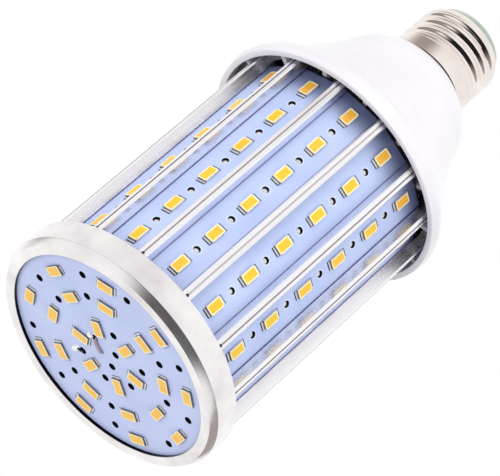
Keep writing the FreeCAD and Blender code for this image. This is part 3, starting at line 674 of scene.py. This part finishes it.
def place_piece(name: str, mesh: Mesh, finish: Palette, replaces: Sequence[str] = (),
                smooth: float = 40.0) -> None:
    """Turn a mesh in millimetres into a piece of the bulb.

    Args:
        name: Name of the piece.
        mesh: Its mesh, which is used up.
        finish: Its finish.
        replaces: CAD nodes that it stands for.
        smooth: Angle in degrees up to which edges are shaded smooth.
    """
    bmesh.ops.scale(mesh, vec=(MM, MM, MM), verts=mesh.verts)
    bmesh.ops.recalc_face_normals(mesh, faces=mesh.faces)
    for face in mesh.faces:
        face.smooth = True
    for edge in mesh.edges:
        edge.smooth = len(edge.link_faces) == 2 and edge.calc_face_angle(0.0) < math.radians(smooth)
    LOG.info("piece %s: %d faces", name, len(mesh.faces))
    piece = new_object(name, mesh)
    piece.data.materials.append(finish.material())
    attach(piece, "root")
    if replaces:
        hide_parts(*replaces)


def dress_node(name: str, finish: Palette) -> None:
    """Give a CAD node that stays in view its finish.

    Args:
        name: Name of the node.
        finish: Its finish.
    """
    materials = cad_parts[name].data.materials
    materials.clear()
    materials.append(finish.material())
    LOG.info("node %s dressed", name)


@dataclass
class HeatSink:
    """Extruded aluminium body; its CAD node has the whole profile."""

    bore_radius: float = 0.48
    bore_height: float = 10.0
    bore_floor: float = 33.9
    bore_top: float = 34.42

    def dress(self) -> None:
        """Give the extrusion its drawn finish."""
        dress_node("heat_sink", Palette.SINK)

    def build(self) -> None:
        """Build the bore at the ring's end of each rib's groove, lined dark as painted shade."""
        bore = lathe([(0.0, self.bore_top), (self.bore_radius, self.bore_top),
                      (self.bore_radius, self.bore_floor)], 12, False)
        bores = gather([bore], on_strips(0.0, [self.bore_height], 0.5))
        place_piece("rib_groove_bores", bores, Palette.PAD_GAP)


@dataclass
class FrontRing:
    """Turned ring at the lower end, with a flat lip, a chamfer and a plain band."""

    radius: float = 35.5
    lip_radius: float = 31.4
    bore_radius: float = 34.5
    seat_radius: float = 33.1
    length: float = 9.1
    lip_depth: float = 1.1
    seat_depth: float = 2.6
    chamfer: Point2 = (1.3, 2.0)
    edge: float = 0.22
    steps: int = 160

    def build(self) -> None:
        """Build the ring."""
        chamfer_width, chamfer_length = self.chamfer
        section = rounded([
            (self.lip_radius, 0.0, self.edge),
            (self.radius - chamfer_width, 0.0, self.edge),
            (self.radius, chamfer_length, self.edge),
            (self.radius, self.length, self.edge),
            (self.bore_radius, self.length, self.edge),
            (self.bore_radius, self.seat_depth, 0.0),
            (self.seat_radius, self.seat_depth, 0.0),
            (self.seat_radius, self.lip_depth, 0.0),
            (self.lip_radius, self.lip_depth, 0.08),
        ])
        place_piece("end_ring_turning", lathe(section, self.steps, True), Palette.RING,
                    ["front_ring"], smooth=24.0)


@dataclass
class Boards:
    """Light boards round the sink; their CAD nodes have the cooling holes, whose floors are built here as
    pale discs of painted light.
    """

    floor_radius: float = 0.76
    floor_heights: Point2 = (29.21, 29.6)
    # Shifts the painted light towards the ring's end of each hole.
    floor_shift: float = -0.2

    def dress(self) -> None:
        """Give each board its solder mask."""
        for index in range(1, STRIP_COUNT + 1):
            dress_node(f"strip_board_{index:02d}", Palette.STRIP_MASK)

    def build(self) -> None:
        """Build the floor of each cooling hole: the sink behind it, as a pale disc set towards the ring's
        end of the hole, a painted pool of light.
        """
        low, high = self.floor_heights
        floor = lathe([(0.0, high), (self.floor_radius, high), (self.floor_radius, low)], 16, False)
        first = FIRST_LIGHT + LIGHT_PITCH / 2 + self.floor_shift
        heights = [first + step * LIGHT_PITCH for step in range(PER_STRIP - 1)]
        floors = gather([floor], on_strips(0.0, heights))
        place_piece("strip_vent_floors", floors, Palette.VENT_FLOOR)


@dataclass
class EndBoard:
    """Round board at the lower end; its cooling holes and lead hole are given as (radius, degrees)."""

    radius: float = 33.0
    thickness: float = 1.5
    steps: int = 128
    vent_radius: float = 1.12
    vent_steps: int = 14
    vents: tuple[Point2, ...] = (
        (26.2, 175.9), (25.9, -141.0), (26.5, -108.4), (26.7, -61.4), (26.9, -21.8), (28.0, 11.9),
        (26.6, 53.7), (26.6, 96.1), (27.4, 130.4), (18.75, -144.0), (19.4, -61.5), (19.8, -21.8),
        (19.8, 55.7), (19.55, 95.3), (19.0, 175.9), (8.95, -111.4), (11.35, -42.0), (9.95, 9.0),
        (10.05, 65.0), (10.2, 117.8), (5.56, -178.5), (3.9, 41.0), (2.85, -68.0))
    lead_hole: Point2 = (2.3, 134.0)
    lead_hole_radius: float = 0.55
    hole_share: float = 0.97

    def holes(self) -> list[tuple[Vector, float]]:
        """Find the holes in the flat disc.

        Returns:
            Middle and radius of each.
        """
        sizes = [(place, self.vent_radius) for place in self.vents]
        sizes.append((self.lead_hole, self.lead_hole_radius))
        holes = []
        for (distance, degrees), size in sizes:
            turn = math.radians(degrees)
            holes.append((Vector((distance * math.cos(turn), distance * math.sin(turn), 0.0)), size))
        return holes

    def build(self) -> None:
        """Build the drilled disc."""
        holes = self.holes()
        mesh = bmesh.new()
        bmesh.ops.create_circle(mesh, segments=self.steps, radius=self.radius)
        for middle, size in holes:
            bmesh.ops.create_circle(mesh, segments=self.vent_steps, radius=size,
                                    matrix=Matrix.Translation(middle))
        bmesh.ops.triangle_fill(mesh, edges=list(mesh.edges), use_beauty=True, use_dissolve=False)
        inner = [face for face in mesh.faces if any(
            (face.calc_center_median() - middle).length < size * self.hole_share for middle, size in holes)]
        bmesh.ops.delete(mesh, geom=inner, context="FACES_ONLY")
        grown = bmesh.ops.extrude_face_region(mesh, geom=list(mesh.faces), use_keep_orig=True)["geom"]
        moved = [part for part in grown if isinstance(part, bmesh.types.BMVert)]
        bmesh.ops.translate(mesh, vec=(0, 0, self.thickness), verts=moved)
        bmesh.ops.translate(mesh, vec=(0, 0, END_FRONT), verts=mesh.verts)
        place_piece("end_board_drilled", mesh, Palette.END_MASK, ["end_board"])


class Part(Enum):
    """Parts of a light's plastic frame that have finishes of their own; the ends and flanks are its white
    plastic with painted shade.
    """

    TOP = "top"
    ENDS = "ends"
    FLANKS = "flanks"


@dataclass
class LightPackage:
    """One surface-mounted light: a plastic frame, a phosphor well and two soldered ends.

    It is built flat, with its long side along X and its light towards +Z.
    """

    length: float = 5.0
    width: float = 3.0
    height: float = 0.75
    corner: float = 0.18
    bevel: float = 0.06
    rim: float = 0.24
    well_slope: float = 0.06
    well_depth: float = 0.2
    gel_depth: float = 0.05
    lead_width: float = 2.5
    lead_height: float = 0.16
    lead_start: float = 0.15
    lead_length: float = 0.4
    foot_height: float = 0.1
    gap_length: float = 0.75
    gap_height: float = 0.04

    def frame(self, wanted: Part) -> Mesh:
        """Build one part of the plastic frame: its top with the sunk well, its ends or its flanks.

        Args:
            wanted: The part.

        Returns:
            The mesh.
        """
        mesh = block((self.length, self.width, self.height), (0, 0, self.height / 2))
        upright = [edge for edge in mesh.edges if abs(edge.verts[0].co.z - edge.verts[1].co.z) > 0.1]
        bevel_edges(mesh, upright, self.corner)
        top = [face for face in mesh.faces if face.normal.z > 0.9]
        bevel_edges(mesh, list(dict.fromkeys(edge for face in top for edge in face.edges)), self.bevel, 1)
        top = [max(mesh.faces, key=lambda face: face.calc_center_median().z)]
        bmesh.ops.inset_region(mesh, faces=top, thickness=self.rim, use_even_offset=True)
        bmesh.ops.inset_region(mesh, faces=top, thickness=self.well_slope, depth=-self.well_depth,
                               use_even_offset=True)
        bmesh.ops.delete(mesh, geom=top, context="FACES")
        rest = [face for face in mesh.faces if self.part(face) is not wanted]
        bmesh.ops.delete(mesh, geom=rest, context="FACES")
        return mesh

    def part(self, face: bmesh.types.BMFace) -> Part:
        """Tell which part of the frame a face belongs to.

        Args:
            face: The face.

        Returns:
            Its part.
        """
        if min(vert.co.z for vert in face.verts) > self.height / 2:
            return Part.TOP
        return Part.ENDS if abs(face.normal.x) > 0.6 else Part.FLANKS

    def phosphor(self) -> Mesh:
        """Build the gel that fills the well.

        Returns:
            The mesh.
        """
        inset = 2 * (self.rim + self.gel_depth)
        mesh = bmesh.new()
        bmesh.ops.create_grid(mesh, x_segments=6, y_segments=4, size=0.5)
        bmesh.ops.scale(mesh, vec=(self.length - inset, self.width - inset, 1.0), verts=mesh.verts)
        for vert in mesh.verts:
            across = 2 * abs(vert.co.y) / (self.width - inset)
            along = 2 * abs(vert.co.x) / (self.length - inset)
            vert.co.z = self.height - self.gel_depth * (2 - max(across, along) ** 3)
        return mesh

    def leads(self) -> Mesh:
        """Build the tinned metal ends.

        Returns:
            The mesh.
        """
        middle = self.length / 2 + self.lead_start + self.lead_length / 2
        lead = block((self.lead_length, self.lead_width, self.lead_height),
                     (middle, 0, self.lead_height / 2), bevel=0.04)
        foot = block((self.lead_start + 0.1, self.lead_width * 0.7, self.foot_height),
                     (self.length / 2 + 0.05, 0, self.foot_height / 2))
        return gather([lead, foot], BOTH_WAYS)

    def gaps(self) -> Mesh:
        """Build the openings of the solder mask under the two ends: thin dark sheets, bare board with
        painted shade beside the leads.

        Returns:
            The mesh.
        """
        middle = (self.length + self.gap_length) / 2
        gap = block((self.gap_length, self.lead_width + 0.2, self.gap_height),
                    (middle, 0, self.gap_height / 2))
        return gather([gap], BOTH_WAYS)


@dataclass
class Lights:
    """All light packages: a row on each strip and three rings on the end board."""

    board_front: float = 30.2
    end_rings: tuple[tuple[float, int, bool], ...] = ((26.8, 9, True), (18.8, 9, True), (9.4, 6, False))
    end_turn: float = 36.7
    end_shift: Point2 = (0.5, 0.5)
    strip_package: LightPackage = field(default_factory=lambda: LightPackage(
        rim=0.33, lead_start=0.1, lead_length=0.48, gap_length=0.92))
    end_package: LightPackage = field(default_factory=LightPackage)

    def end_places(self) -> list[Matrix]:
        """Find where the packages of the end board stand: rings of them, laid along or across each ring.

        Returns:
            A matrix for each package.
        """
        down = Matrix.Rotation(math.pi, 4, "X")
        shift = Matrix.Translation((*self.end_shift, END_FRONT))
        places = []
        for radius, count, along in self.end_rings:
            across = Matrix.Rotation(math.pi / 2 if along else 0.0, 4, "Z")
            for step in range(count):
                turn = Matrix.Rotation(math.radians(self.end_turn) + math.tau * step / count, 4, "Z")
                places.append(shift @ turn @ Matrix.Translation((radius, 0, 0)) @ across @ down)
        return places

    def build(self) -> None:
        """Build the lights of the strips and of the end, each finish as one piece."""
        strips = [f"strip_lights_{index:02d}" for index in range(1, STRIP_COUNT + 1)]
        heights = [FIRST_LIGHT + step * LIGHT_PITCH for step in range(PER_STRIP)]
        self.build_set("strip", self.strip_package, on_strips(self.board_front, heights), strips,
                       (Palette.PHOSPHOR, Palette.STRIP_ENDS, Palette.PACKAGE_FLANK))
        self.build_set("end", self.end_package, self.end_places(), ["end_lights"],
                       (Palette.END_PHOSPHOR, Palette.PACKAGE_SIDE, Palette.PACKAGE_SIDE))

    def build_set(self, name: str, package: LightPackage, places: Sequence[Matrix], nodes: Sequence[str],
                  finishes: tuple[Palette, Palette, Palette]) -> None:
        """Build the packages of one board or set of boards.

        Args:
            name: Start of the pieces' names.
            package: The package.
            places: A matrix for each package.
            nodes: CAD nodes that the packages stand for.
            finishes: Finishes of the gel, of the ends and of the flanks; the ends and flanks get painted
                shade.
        """
        gel, end, flank = finishes
        parts = (
            ("light_frames", package.frame(Part.TOP), Palette.PACKAGE, "light_package", nodes),
            ("light_ends", package.frame(Part.ENDS), end, "light_package", ()),
            ("light_flanks", package.frame(Part.FLANKS), flank, "light_package", ()),
            ("light_gel", package.phosphor(), gel, "light_package", ()),
            ("light_leads", package.leads(), Palette.SOLDER, "solder", ()),
            ("mask_openings", package.gaps(), Palette.PAD_GAP, "board_mask", ()),
        )
        for part, mesh, finish, slot, replaces in parts:
            place_piece(f"{name}_{part}", gather([mesh], places), finish, replaces)


@dataclass
class Leads:
    """The two leads at the middle of the end board, each bent out of its hole into its solder."""

    first: tuple[Point3, ...] = (
        (-1.6, 1.65, 4.6), (-1.6, 1.65, 1.0), (-1.9, 1.5, 0.65), (-4.3, 0.45, 0.65), (-5.0, 0.15, 0.95),
        (-5.2, 0.05, 1.9))
    second: tuple[Point3, ...] = (
        (-4.76, 9.03, 4.6), (-4.76, 9.03, 1.1), (-5.1, 9.2, 0.75), (-6.1, 9.6, 0.75))
    first_radius: float = 0.48
    second_radius: float = 0.34
    drops: tuple[tuple[Point2, Point2, float], ...] = (
        ((-6.9, 0.5), (1.0, 0.9), 0.0), ((-6.4, 10.9), (1.0, 2.0), 12.0))
    drop_height: float = 0.8

    def solder(self) -> Mesh:
        """Build the two drops of solder from their middles, half widths and turns in degrees.

        Returns:
            The mesh.
        """
        mesh = bmesh.new()
        for middle, half, degrees in self.drops:
            turn = Matrix.Rotation(math.radians(degrees), 4, "Z")
            made = bmesh.ops.create_uvsphere(mesh, u_segments=20, v_segments=10, radius=1.0)["verts"]
            bmesh.ops.scale(mesh, vec=(*half, self.drop_height), verts=made)
            bmesh.ops.transform(mesh, matrix=Matrix.Translation((*middle, END_FRONT)) @ turn, verts=made)
        bmesh.ops.bisect_plane(mesh, geom=[*mesh.verts, *mesh.edges, *mesh.faces],
                               plane_co=(0, 0, END_FRONT + 0.02), plane_no=(0, 0, 1), clear_outer=True)
        return mesh

    def build(self) -> None:
        """Build the leads and their solder."""
        place_piece("end_lead_positive", tube(self.first, self.first_radius), Palette.GREY_SLEEVE,
                    ["lead_positive"])
        place_piece("end_lead_negative", tube(self.second, self.second_radius), Palette.BLACK_SLEEVE,
                    ["lead_negative"])
        place_piece("end_solder_drops", self.solder(), Palette.SOLDER, ["end_solder"])


@dataclass
class Collar:
    """Moulded bell between the sink and the cap."""

    rim_start: float = 87.2
    mouth_radius: float = 35.2
    rim_radius: float = 36.9
    swell: Point2 = (37.3, 89.4)
    shoulder: Point2 = (35.0, 93.6)
    neck: Point2 = (22.0, 117.3)
    neck_edge: Point2 = (17.3, 125.8)
    neck_top: Point2 = (13.25, 127.6)
    ledge_height: float = 126.9
    spigot: Point2 = (12.4, 133.18)
    spigot_bore: float = 10.8
    roof: float = 122.6
    inner_shoulder: float = 31.2
    inner_neck: Point2 = (19.7, 117.3)
    sink_end: float = 92.0
    web_width: float = 1.4
    web_reach: Point2 = (29.3, 35.6)
    web_heights: Point2 = (90.4, 92.1)
    dent_turn: float = -78.0
    dent_height: float = 103.4
    dent_half: Point2 = (5.2, 3.1)
    dent_depth: float = 0.5
    dent_steepness: float = 2.5
    dent_ease: float = 1.5
    swell_rise: float = -0.457
    flare_rise: float = 0.705
    neck_rise: float = -0.809
    edge_rise: float = -0.35
    steps: int = 240

    def outside(self) -> list[Point2]:
        """Outline of the visible wall, from the mouth to the ledge under the cap.

        Returns:
            Points as (radius, height).
        """
        points = rounded([(self.mouth_radius, self.rim_start + 4.0, 0.0),
                          (self.mouth_radius, self.rim_start, 0.25), (self.rim_radius, self.rim_start, 0.3),
                          (*self.swell, 0.0)])[:-1]
        points += arc(self.swell, self.shoulder, self.swell_rise, 8)
        points += arc(self.shoulder, self.neck, self.flare_rise, 40)
        points += arc(self.neck, self.neck_edge, self.neck_rise, 10)
        points += arc(self.neck_edge, self.neck_top, self.edge_rise, 8)
        points += rounded([(*self.neck_edge, 0.0), (*self.neck_top, 0.12),
                           (self.neck_top[0], self.ledge_height, 0.0)])[1:-1]
        points.append((self.neck_top[0], self.ledge_height))
        return points

    def press_dent(self, mesh: Mesh) -> None:
        """Press the shallow oval dent into the flare.

        Args:
            mesh: Mesh of the bell, changed in place.
        """
        middle = math.radians(self.dent_turn)
        for vert in mesh.verts:
            radius = math.hypot(vert.co.x, vert.co.y)
            turn = math.remainder(math.atan2(vert.co.y, vert.co.x) - middle, math.tau)
            across = turn * radius / self.dent_half[0]
            along = (vert.co.z - self.dent_height) / self.dent_half[1]
            share = 1.0 - across * across - along * along
            if share > 0.0 and abs(turn) < 1.0:
                depth = self.dent_depth * min(1.0, self.dent_steepness * share) ** self.dent_ease
                vert.co.x *= 1.0 - depth / radius
                vert.co.y *= 1.0 - depth / radius

    def build(self) -> None:
        """Build the bell, its inner wall and its webs."""
        bell = lathe(self.outside(), self.steps, False)
        self.press_dent(bell)
        place_piece("collar_bell", bell, Palette.COLLAR, ["collar"], smooth=35.0)
        inside = [(self.mouth_radius, self.rim_start + 3.9), (self.mouth_radius, self.sink_end),
                  (self.inner_shoulder, self.sink_end), (self.inner_shoulder, self.shoulder[1]),
                  self.inner_neck, (self.spigot_bore, self.roof), (self.spigot_bore, self.spigot[1]),
                  self.spigot, (self.spigot[0], self.ledge_height), (self.neck_top[0], self.ledge_height)]
        # Inner wall with painted shade.
        place_piece("collar_inner_wall", lathe(inside, 160, False), Palette.COLLAR_INSIDE,
                    smooth=35.0)
        reach = self.web_reach[1] - self.web_reach[0]
        rise = self.web_heights[1] - self.web_heights[0]
        middle = (sum(self.web_reach) / 2, 0, sum(self.web_heights) / 2)
        web = block((reach, self.web_width, rise), middle, bevel=0.12)
        turns = [Matrix.Rotation(strip_angle(index), 4, "Z") for index in range(STRIP_COUNT)]
        place_piece("collar_webs", gather([web], turns), Palette.COLLAR)


@dataclass
class ScrewCap:
    """Rolled nickel cap with a round thread, its insulator and its contact.

    The thread deepens over its run-in, from a little before its start, and ends a little past its end.
    """

    radius: float = 13.15
    foot_radius: float = 12.75
    start: float = 126.9
    crimp_end: float = 128.6
    thread_start: float = 134.45
    thread_end: float = 145.34
    thread_before: float = 0.4
    thread_past: float = 0.6
    run_in: float = 1.4
    rows_per_turn: int = 16
    pitch: float = 3.63
    depth: float = 0.95
    end: float = 148.9
    lip_radius: float = 11.2
    lip_rise: float = -0.45
    wall: float = 0.35
    # Outline of a dark ring at the shell's foot, painted shade in the crevice under the neck.
    neck_shade_ring: tuple[Point2, ...] = (
        (12.8, 128.0), (13.3, 128.3), (13.41, 128.9), (13.37, 129.35), (13.1, 129.45))
    dome: Point2 = (9.6, 151.2)
    dome_rise: float = -0.55
    dome_top: Point2 = (5.6, 151.5)
    dome_top_rise: float = -0.08
    glass_bore: float = 1.5
    glass_floor: float = 147.3
    button_radius: float = 4.9
    button_edges: Point2 = (151.4, 151.8)
    button_top: Point2 = (1.6, 152.59)
    button_rise: float = -0.28
    steps: int = 120

    def thread_radius(self, angle: float, height: float) -> float:
        """Radius of the rolled wall.

        Args:
            angle: Angle about Z in radians.
            height: Height in millimetres.

        Returns:
            The radius in millimetres.
        """
        phase = (height - self.thread_start) / self.pitch - angle / math.tau
        wave = 0.5 - 0.5 * math.cos(math.tau * (phase - 0.5))
        rising = min(1.0, max(0.0, (height - self.thread_start + self.thread_before) / self.run_in))
        falling = min(1.0, max(0.0, (self.thread_end + self.thread_past - height) / self.run_in))
        return self.radius - self.depth * wave * rising * falling

    def shell(self) -> Mesh:
        """Build the rolled sheet.

        Returns:
            The mesh.
        """
        straight = (self.crimp_end - self.start) / 2
        outline = [(self.foot_radius, self.start), (self.foot_radius, self.start + straight)]
        for step in range(1, 7):
            ease = step / 6
            growth = (self.radius - self.foot_radius) * ease * ease * (3 - 2 * ease)
            outline.append((self.foot_radius + growth, self.start + straight * (1 + ease)))
        rows = [self.crimp_end + 0.5 * step for step in range(1, 10)]
        height = self.thread_start - 0.8
        while height < self.thread_end + 0.7:
            rows.append(height)
            height += self.pitch / self.rows_per_turn
        outline += [(self.radius, row) for row in rows]
        top = rows[-1]
        outline += arc((self.radius, top), (self.lip_radius, self.end), self.lip_rise, 8)
        outline += [(self.lip_radius, self.end), (self.lip_radius - 0.02, self.end - self.wall)]
        mesh = lathe(outline, self.steps, False)
        for vert in mesh.verts:
            if self.thread_start - 0.9 < vert.co.z < self.thread_end + 0.65:
                flat = Vector((vert.co.x, vert.co.y, 0.0))
                flat.length = self.thread_radius(math.atan2(vert.co.y, vert.co.x), vert.co.z)
                vert.co.x, vert.co.y = flat.x, flat.y
        return mesh

    def build(self) -> None:
        """Build the shell, the insulator and the contact."""
        place_piece("cap_rolled_shell", self.shell(), Palette.NICKEL, ["cap_shell"],
                    smooth=50.0)
        # The dark ring at the shell's foot stands for shade in the crevice under the neck.
        place_piece("cap_neck_painted_shade", lathe(self.neck_shade_ring, 96, True), Palette.SEAL, smooth=60.0)
        low, high = self.button_edges
        glass = [(self.glass_bore, self.glass_floor), (self.lip_radius, self.glass_floor)]
        glass += arc((self.lip_radius, self.end), self.dome, self.dome_rise, 8)
        glass += arc(self.dome, self.dome_top, self.dome_top_rise, 3)
        glass += [self.dome_top, (self.glass_bore, low)]
        place_piece("cap_glass_insulator", lathe(glass, 96, True), Palette.INSULATOR,
                    ["cap_insulator"], smooth=35.0)
        button = [(self.glass_bore, self.glass_floor - 0.6), (self.glass_bore, low),
                  (self.button_radius, low)]
        button += arc((self.button_radius, high), self.button_top, self.button_rise, 8)
        button += [self.button_top, (0.0, self.button_top[1])]
        place_piece("cap_contact_button", lathe(button, 64, False), Palette.CONTACT,
                    ["cap_contact"], smooth=35.0)


@dataclass
class Driver:
    """Plate, circuit board and components inside the collar; their CAD nodes stay."""

    finishes: tuple[tuple[str, Palette], ...] = (
        ("end_plate", Palette.INNER_PLASTIC), ("plate_screws", Palette.STEEL),
        ("driver_board", Palette.LAMINATE), ("driver_capacitor", Palette.CAN),
        ("driver_choke", Palette.CHOKE), ("driver_transformer", Palette.CORE),
        ("driver_bridge", Palette.CASE), ("contact_lead", Palette.RED_SLEEVE),
        ("shell_lead", Palette.BLACK_SLEEVE))

    def dress(self) -> None:
        """Give each inner node its finish."""
        for node, finish in self.finishes:
            dress_node(node, finish)


@dataclass(frozen=True)
class Lamp:
    """A soft square light that faces the bulb.

    Its direction is seen from the bulb, its size and distance are in metres, and its strength is the share
    of full light that it gives a surface that faces it.
    """

    name: str
    direction: Point3
    size: float
    strength: float
    distance: float = 1.2

    def build(self) -> None:
        """Add the light, which shows in no mirror."""
        light = bpy.data.lights.new(self.name, "AREA")
        light.shape = "SQUARE"
        light.size = self.size
        light.energy = self.strength * math.pi * math.pi * self.distance * self.distance
        light.specular_factor = 0.0
        lamp = new_object(self.name, light)
        out = Vector(self.direction).normalized()
        turn = out.to_track_quat("Z", "Y").to_matrix().to_4x4()
        lamp.matrix_world = Matrix.Translation(Vector((0, 0, 0.07)) + out * self.distance) @ turn
        lamp.visible_camera = False
        lamp.visible_glossy = False


@dataclass(frozen=True)
class Card:
    """A curved dark card that only mirrors in the metal.

    It stands between two angles about Z (turns) and two over the horizon (slopes), in degrees. It bends
    about a point of the axis at its height, at its distance, in metres. Its level is the brightness of its
    middle, the plateau is the share of its half width that keeps it, and from there it fades away.
    """

    name: str
    turns: Point2
    slopes: Point2
    level: float
    distance: float = 1.0
    height: float = 0.07
    plateau: float = 0.45
    tint: Colour = (1.0, 1.0, 1.0)

    def mesh(self) -> Mesh:
        """Build the bent sheet.

        Returns:
            The mesh, in metres.
        """
        mesh = bmesh.new()
        bmesh.ops.create_grid(mesh, x_segments=24, y_segments=8, size=0.5)
        for vert in mesh.verts:
            turn = math.radians(self.turns[0] + (self.turns[1] - self.turns[0]) * (vert.co.x + 0.5))
            slope = math.radians(self.slopes[0] + (self.slopes[1] - self.slopes[0]) * (vert.co.y + 0.5))
            flat = math.cos(slope)
            out = Vector((math.cos(turn) * flat, math.sin(turn) * flat, math.sin(slope)))
            vert.co = out * self.distance + Vector((0, 0, self.height))
        return mesh

    def material(self) -> bpy.types.Material:
        """Make the glow that fades to clear at the card's sides.

        Returns:
            The material.
        """
        material = bpy.data.materials.new(self.name)
        graph = clear_graph(material)
        turn, _, _ = polar_parts(graph)
        middle = math.radians(sum(self.turns)) / 2
        half = math.radians(self.turns[1] - self.turns[0]) / 2
        away = graph.math("ABSOLUTE", fold(graph, turn, middle, math.tau))
        share = graph.ramp(away, 1.0, 0.0, half * self.plateau, half, smooth=True)
        shader = graph.add("ShaderNodeEmission", {"Color": (*self.tint, 1), "Strength": self.level})
        graph.show_through(share, shader)
        return material

    def build(self) -> None:
        """Add the card, which shows in mirrors only."""
        card = new_object(self.name, self.mesh())
        card.data.materials.append(self.material())
        card.visible_camera = False
        card.visible_diffuse = False
        card.visible_shadow = False
        card.visible_transmission = False


@dataclass
class Studio:
    """Pale floor, soft light and the camera at the photograph's angle."""

    camera_place: Point3 = (-0.03521, -0.70606, -0.38079)
    right: Point3 = (0.63882, -0.42817, 0.63920)
    down: Point3 = (0.76810, 0.30743, -0.56171)
    forward: Point3 = (0.04401, 0.84980, 0.52527)
    lens: float = 228.5
    ambient: float = 0.62
    lamps: tuple[Lamp, ...] = (
        Lamp("key", (-0.35, -0.75, 0.75), 0.7, 0.42),
        Lamp("fill", (-0.5, -0.45, -0.7), 0.9, 0.4),
        Lamp("side", (0.75, -0.65, -0.1), 0.8, 0.34),
        Lamp("back", (0.5, 0.8, 0.5), 1.0, 0.25))
    cards: tuple[Card, ...] = (
        Card("camera_side", (-135.0, -15.0), (-56.0, -13.0), 0.13),
        Card("cap_skirt_side", (-215.0, -106.0), (24.0, 42.0), 0.42, 0.3, 0.13, 0.15, WARM),
        Card("cap_thread_side", (-236.0, -90.0), (-30.0, -11.0), 0.34, 0.31, 0.14, 0.6, WARM),
        Card("cap_thread_front", (-148.0, -8.0), (-46.0, -15.0), 0.015, 0.3, 0.14, 0.42),
        Card("cap_thread_end", (-62.0, 70.0), (-40.0, -17.0), 0.4, 0.32, 0.14, 0.6, WARM))

    def build_world(self) -> None:
        """White for the camera and for reflections, a plain level for soft light."""
        world = bpy.data.worlds.new("studio_world")
        bpy.context.scene.world = world
        graph = clear_graph(world)
        path = graph.add("ShaderNodeLightPath")
        seen = graph.math("MAXIMUM", path.outputs["Is Camera Ray"], path.outputs["Is Glossy Ray"])
        seen = graph.math("MAXIMUM", seen, path.outputs["Is Transmission Ray"])
        level = graph.ramp(seen, self.ambient, 1.0)
        shader = graph.add("ShaderNodeBackground", {"Color": (1, 1, 1, 1), "Strength": level})
        graph.add("ShaderNodeOutputWorld", {"Surface": shader.outputs[0]})

    def build_floor(self) -> None:
        """Pale floor that shows from above only."""
        mesh = bmesh.new()
        bmesh.ops.create_grid(mesh, x_segments=1, y_segments=1, size=3.0)
        bmesh.ops.translate(mesh, vec=(0, 0, -0.0004), verts=mesh.verts)
        floor = new_object("floor", mesh)
        material = bpy.data.materials.new("pale_floor")
        graph = clear_graph(material)
        path = graph.add("ShaderNodeLightPath")
        back = graph.add("ShaderNodeNewGeometry").outputs["Backfacing"]
        front = graph.math("SUBTRACT", 1.0, back)
        shown = graph.math("MULTIPLY", path.outputs["Is Camera Ray"], front)
        graph.show_through(shown, graph.add("ShaderNodeBsdfDiffuse", {"Color": (0.93, 0.93, 0.93, 1)}))
        floor.data.materials.append(material)

    def build_camera(self) -> None:
        """Stand the camera where the photograph was taken."""
        data = bpy.data.cameras.new("camera")
        data.sensor_width = 36.0
        data.lens = self.lens
        data.clip_start = 0.01
        camera = new_object("camera", data)
        turn = Matrix((self.right, -Vector(self.down), -Vector(self.forward))).transposed().to_4x4()
        camera.matrix_world = Matrix.Translation(self.camera_place) @ turn
        bpy.context.scene.camera = camera

    def build(self) -> None:
        """Build the whole studio."""
        bpy.context.scene.view_settings.view_transform = "Standard"
        self.build_world()
        self.build_floor()
        for lit in (*self.lamps, *self.cards):
            lit.build()
        self.build_camera()


def main() -> None:
    """Build the bulb and its studio, piece by piece."""
    logging.basicConfig(level=logging.INFO, format="%(name)s: %(message)s")
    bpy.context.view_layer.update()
    assemblies = (HeatSink(), FrontRing(), Boards(), EndBoard(), Lights(), Leads(), Collar(), ScrewCap(),
                  Driver(), Studio())
    for assembly in assemblies:
        for step in ("build", "dress"):
            work = getattr(assembly, step, None)
            if work is not None:
                work()
                LOG.info("%s: %s done", type(assembly).__name__, step)


if __name__ == "__main__":
    main()
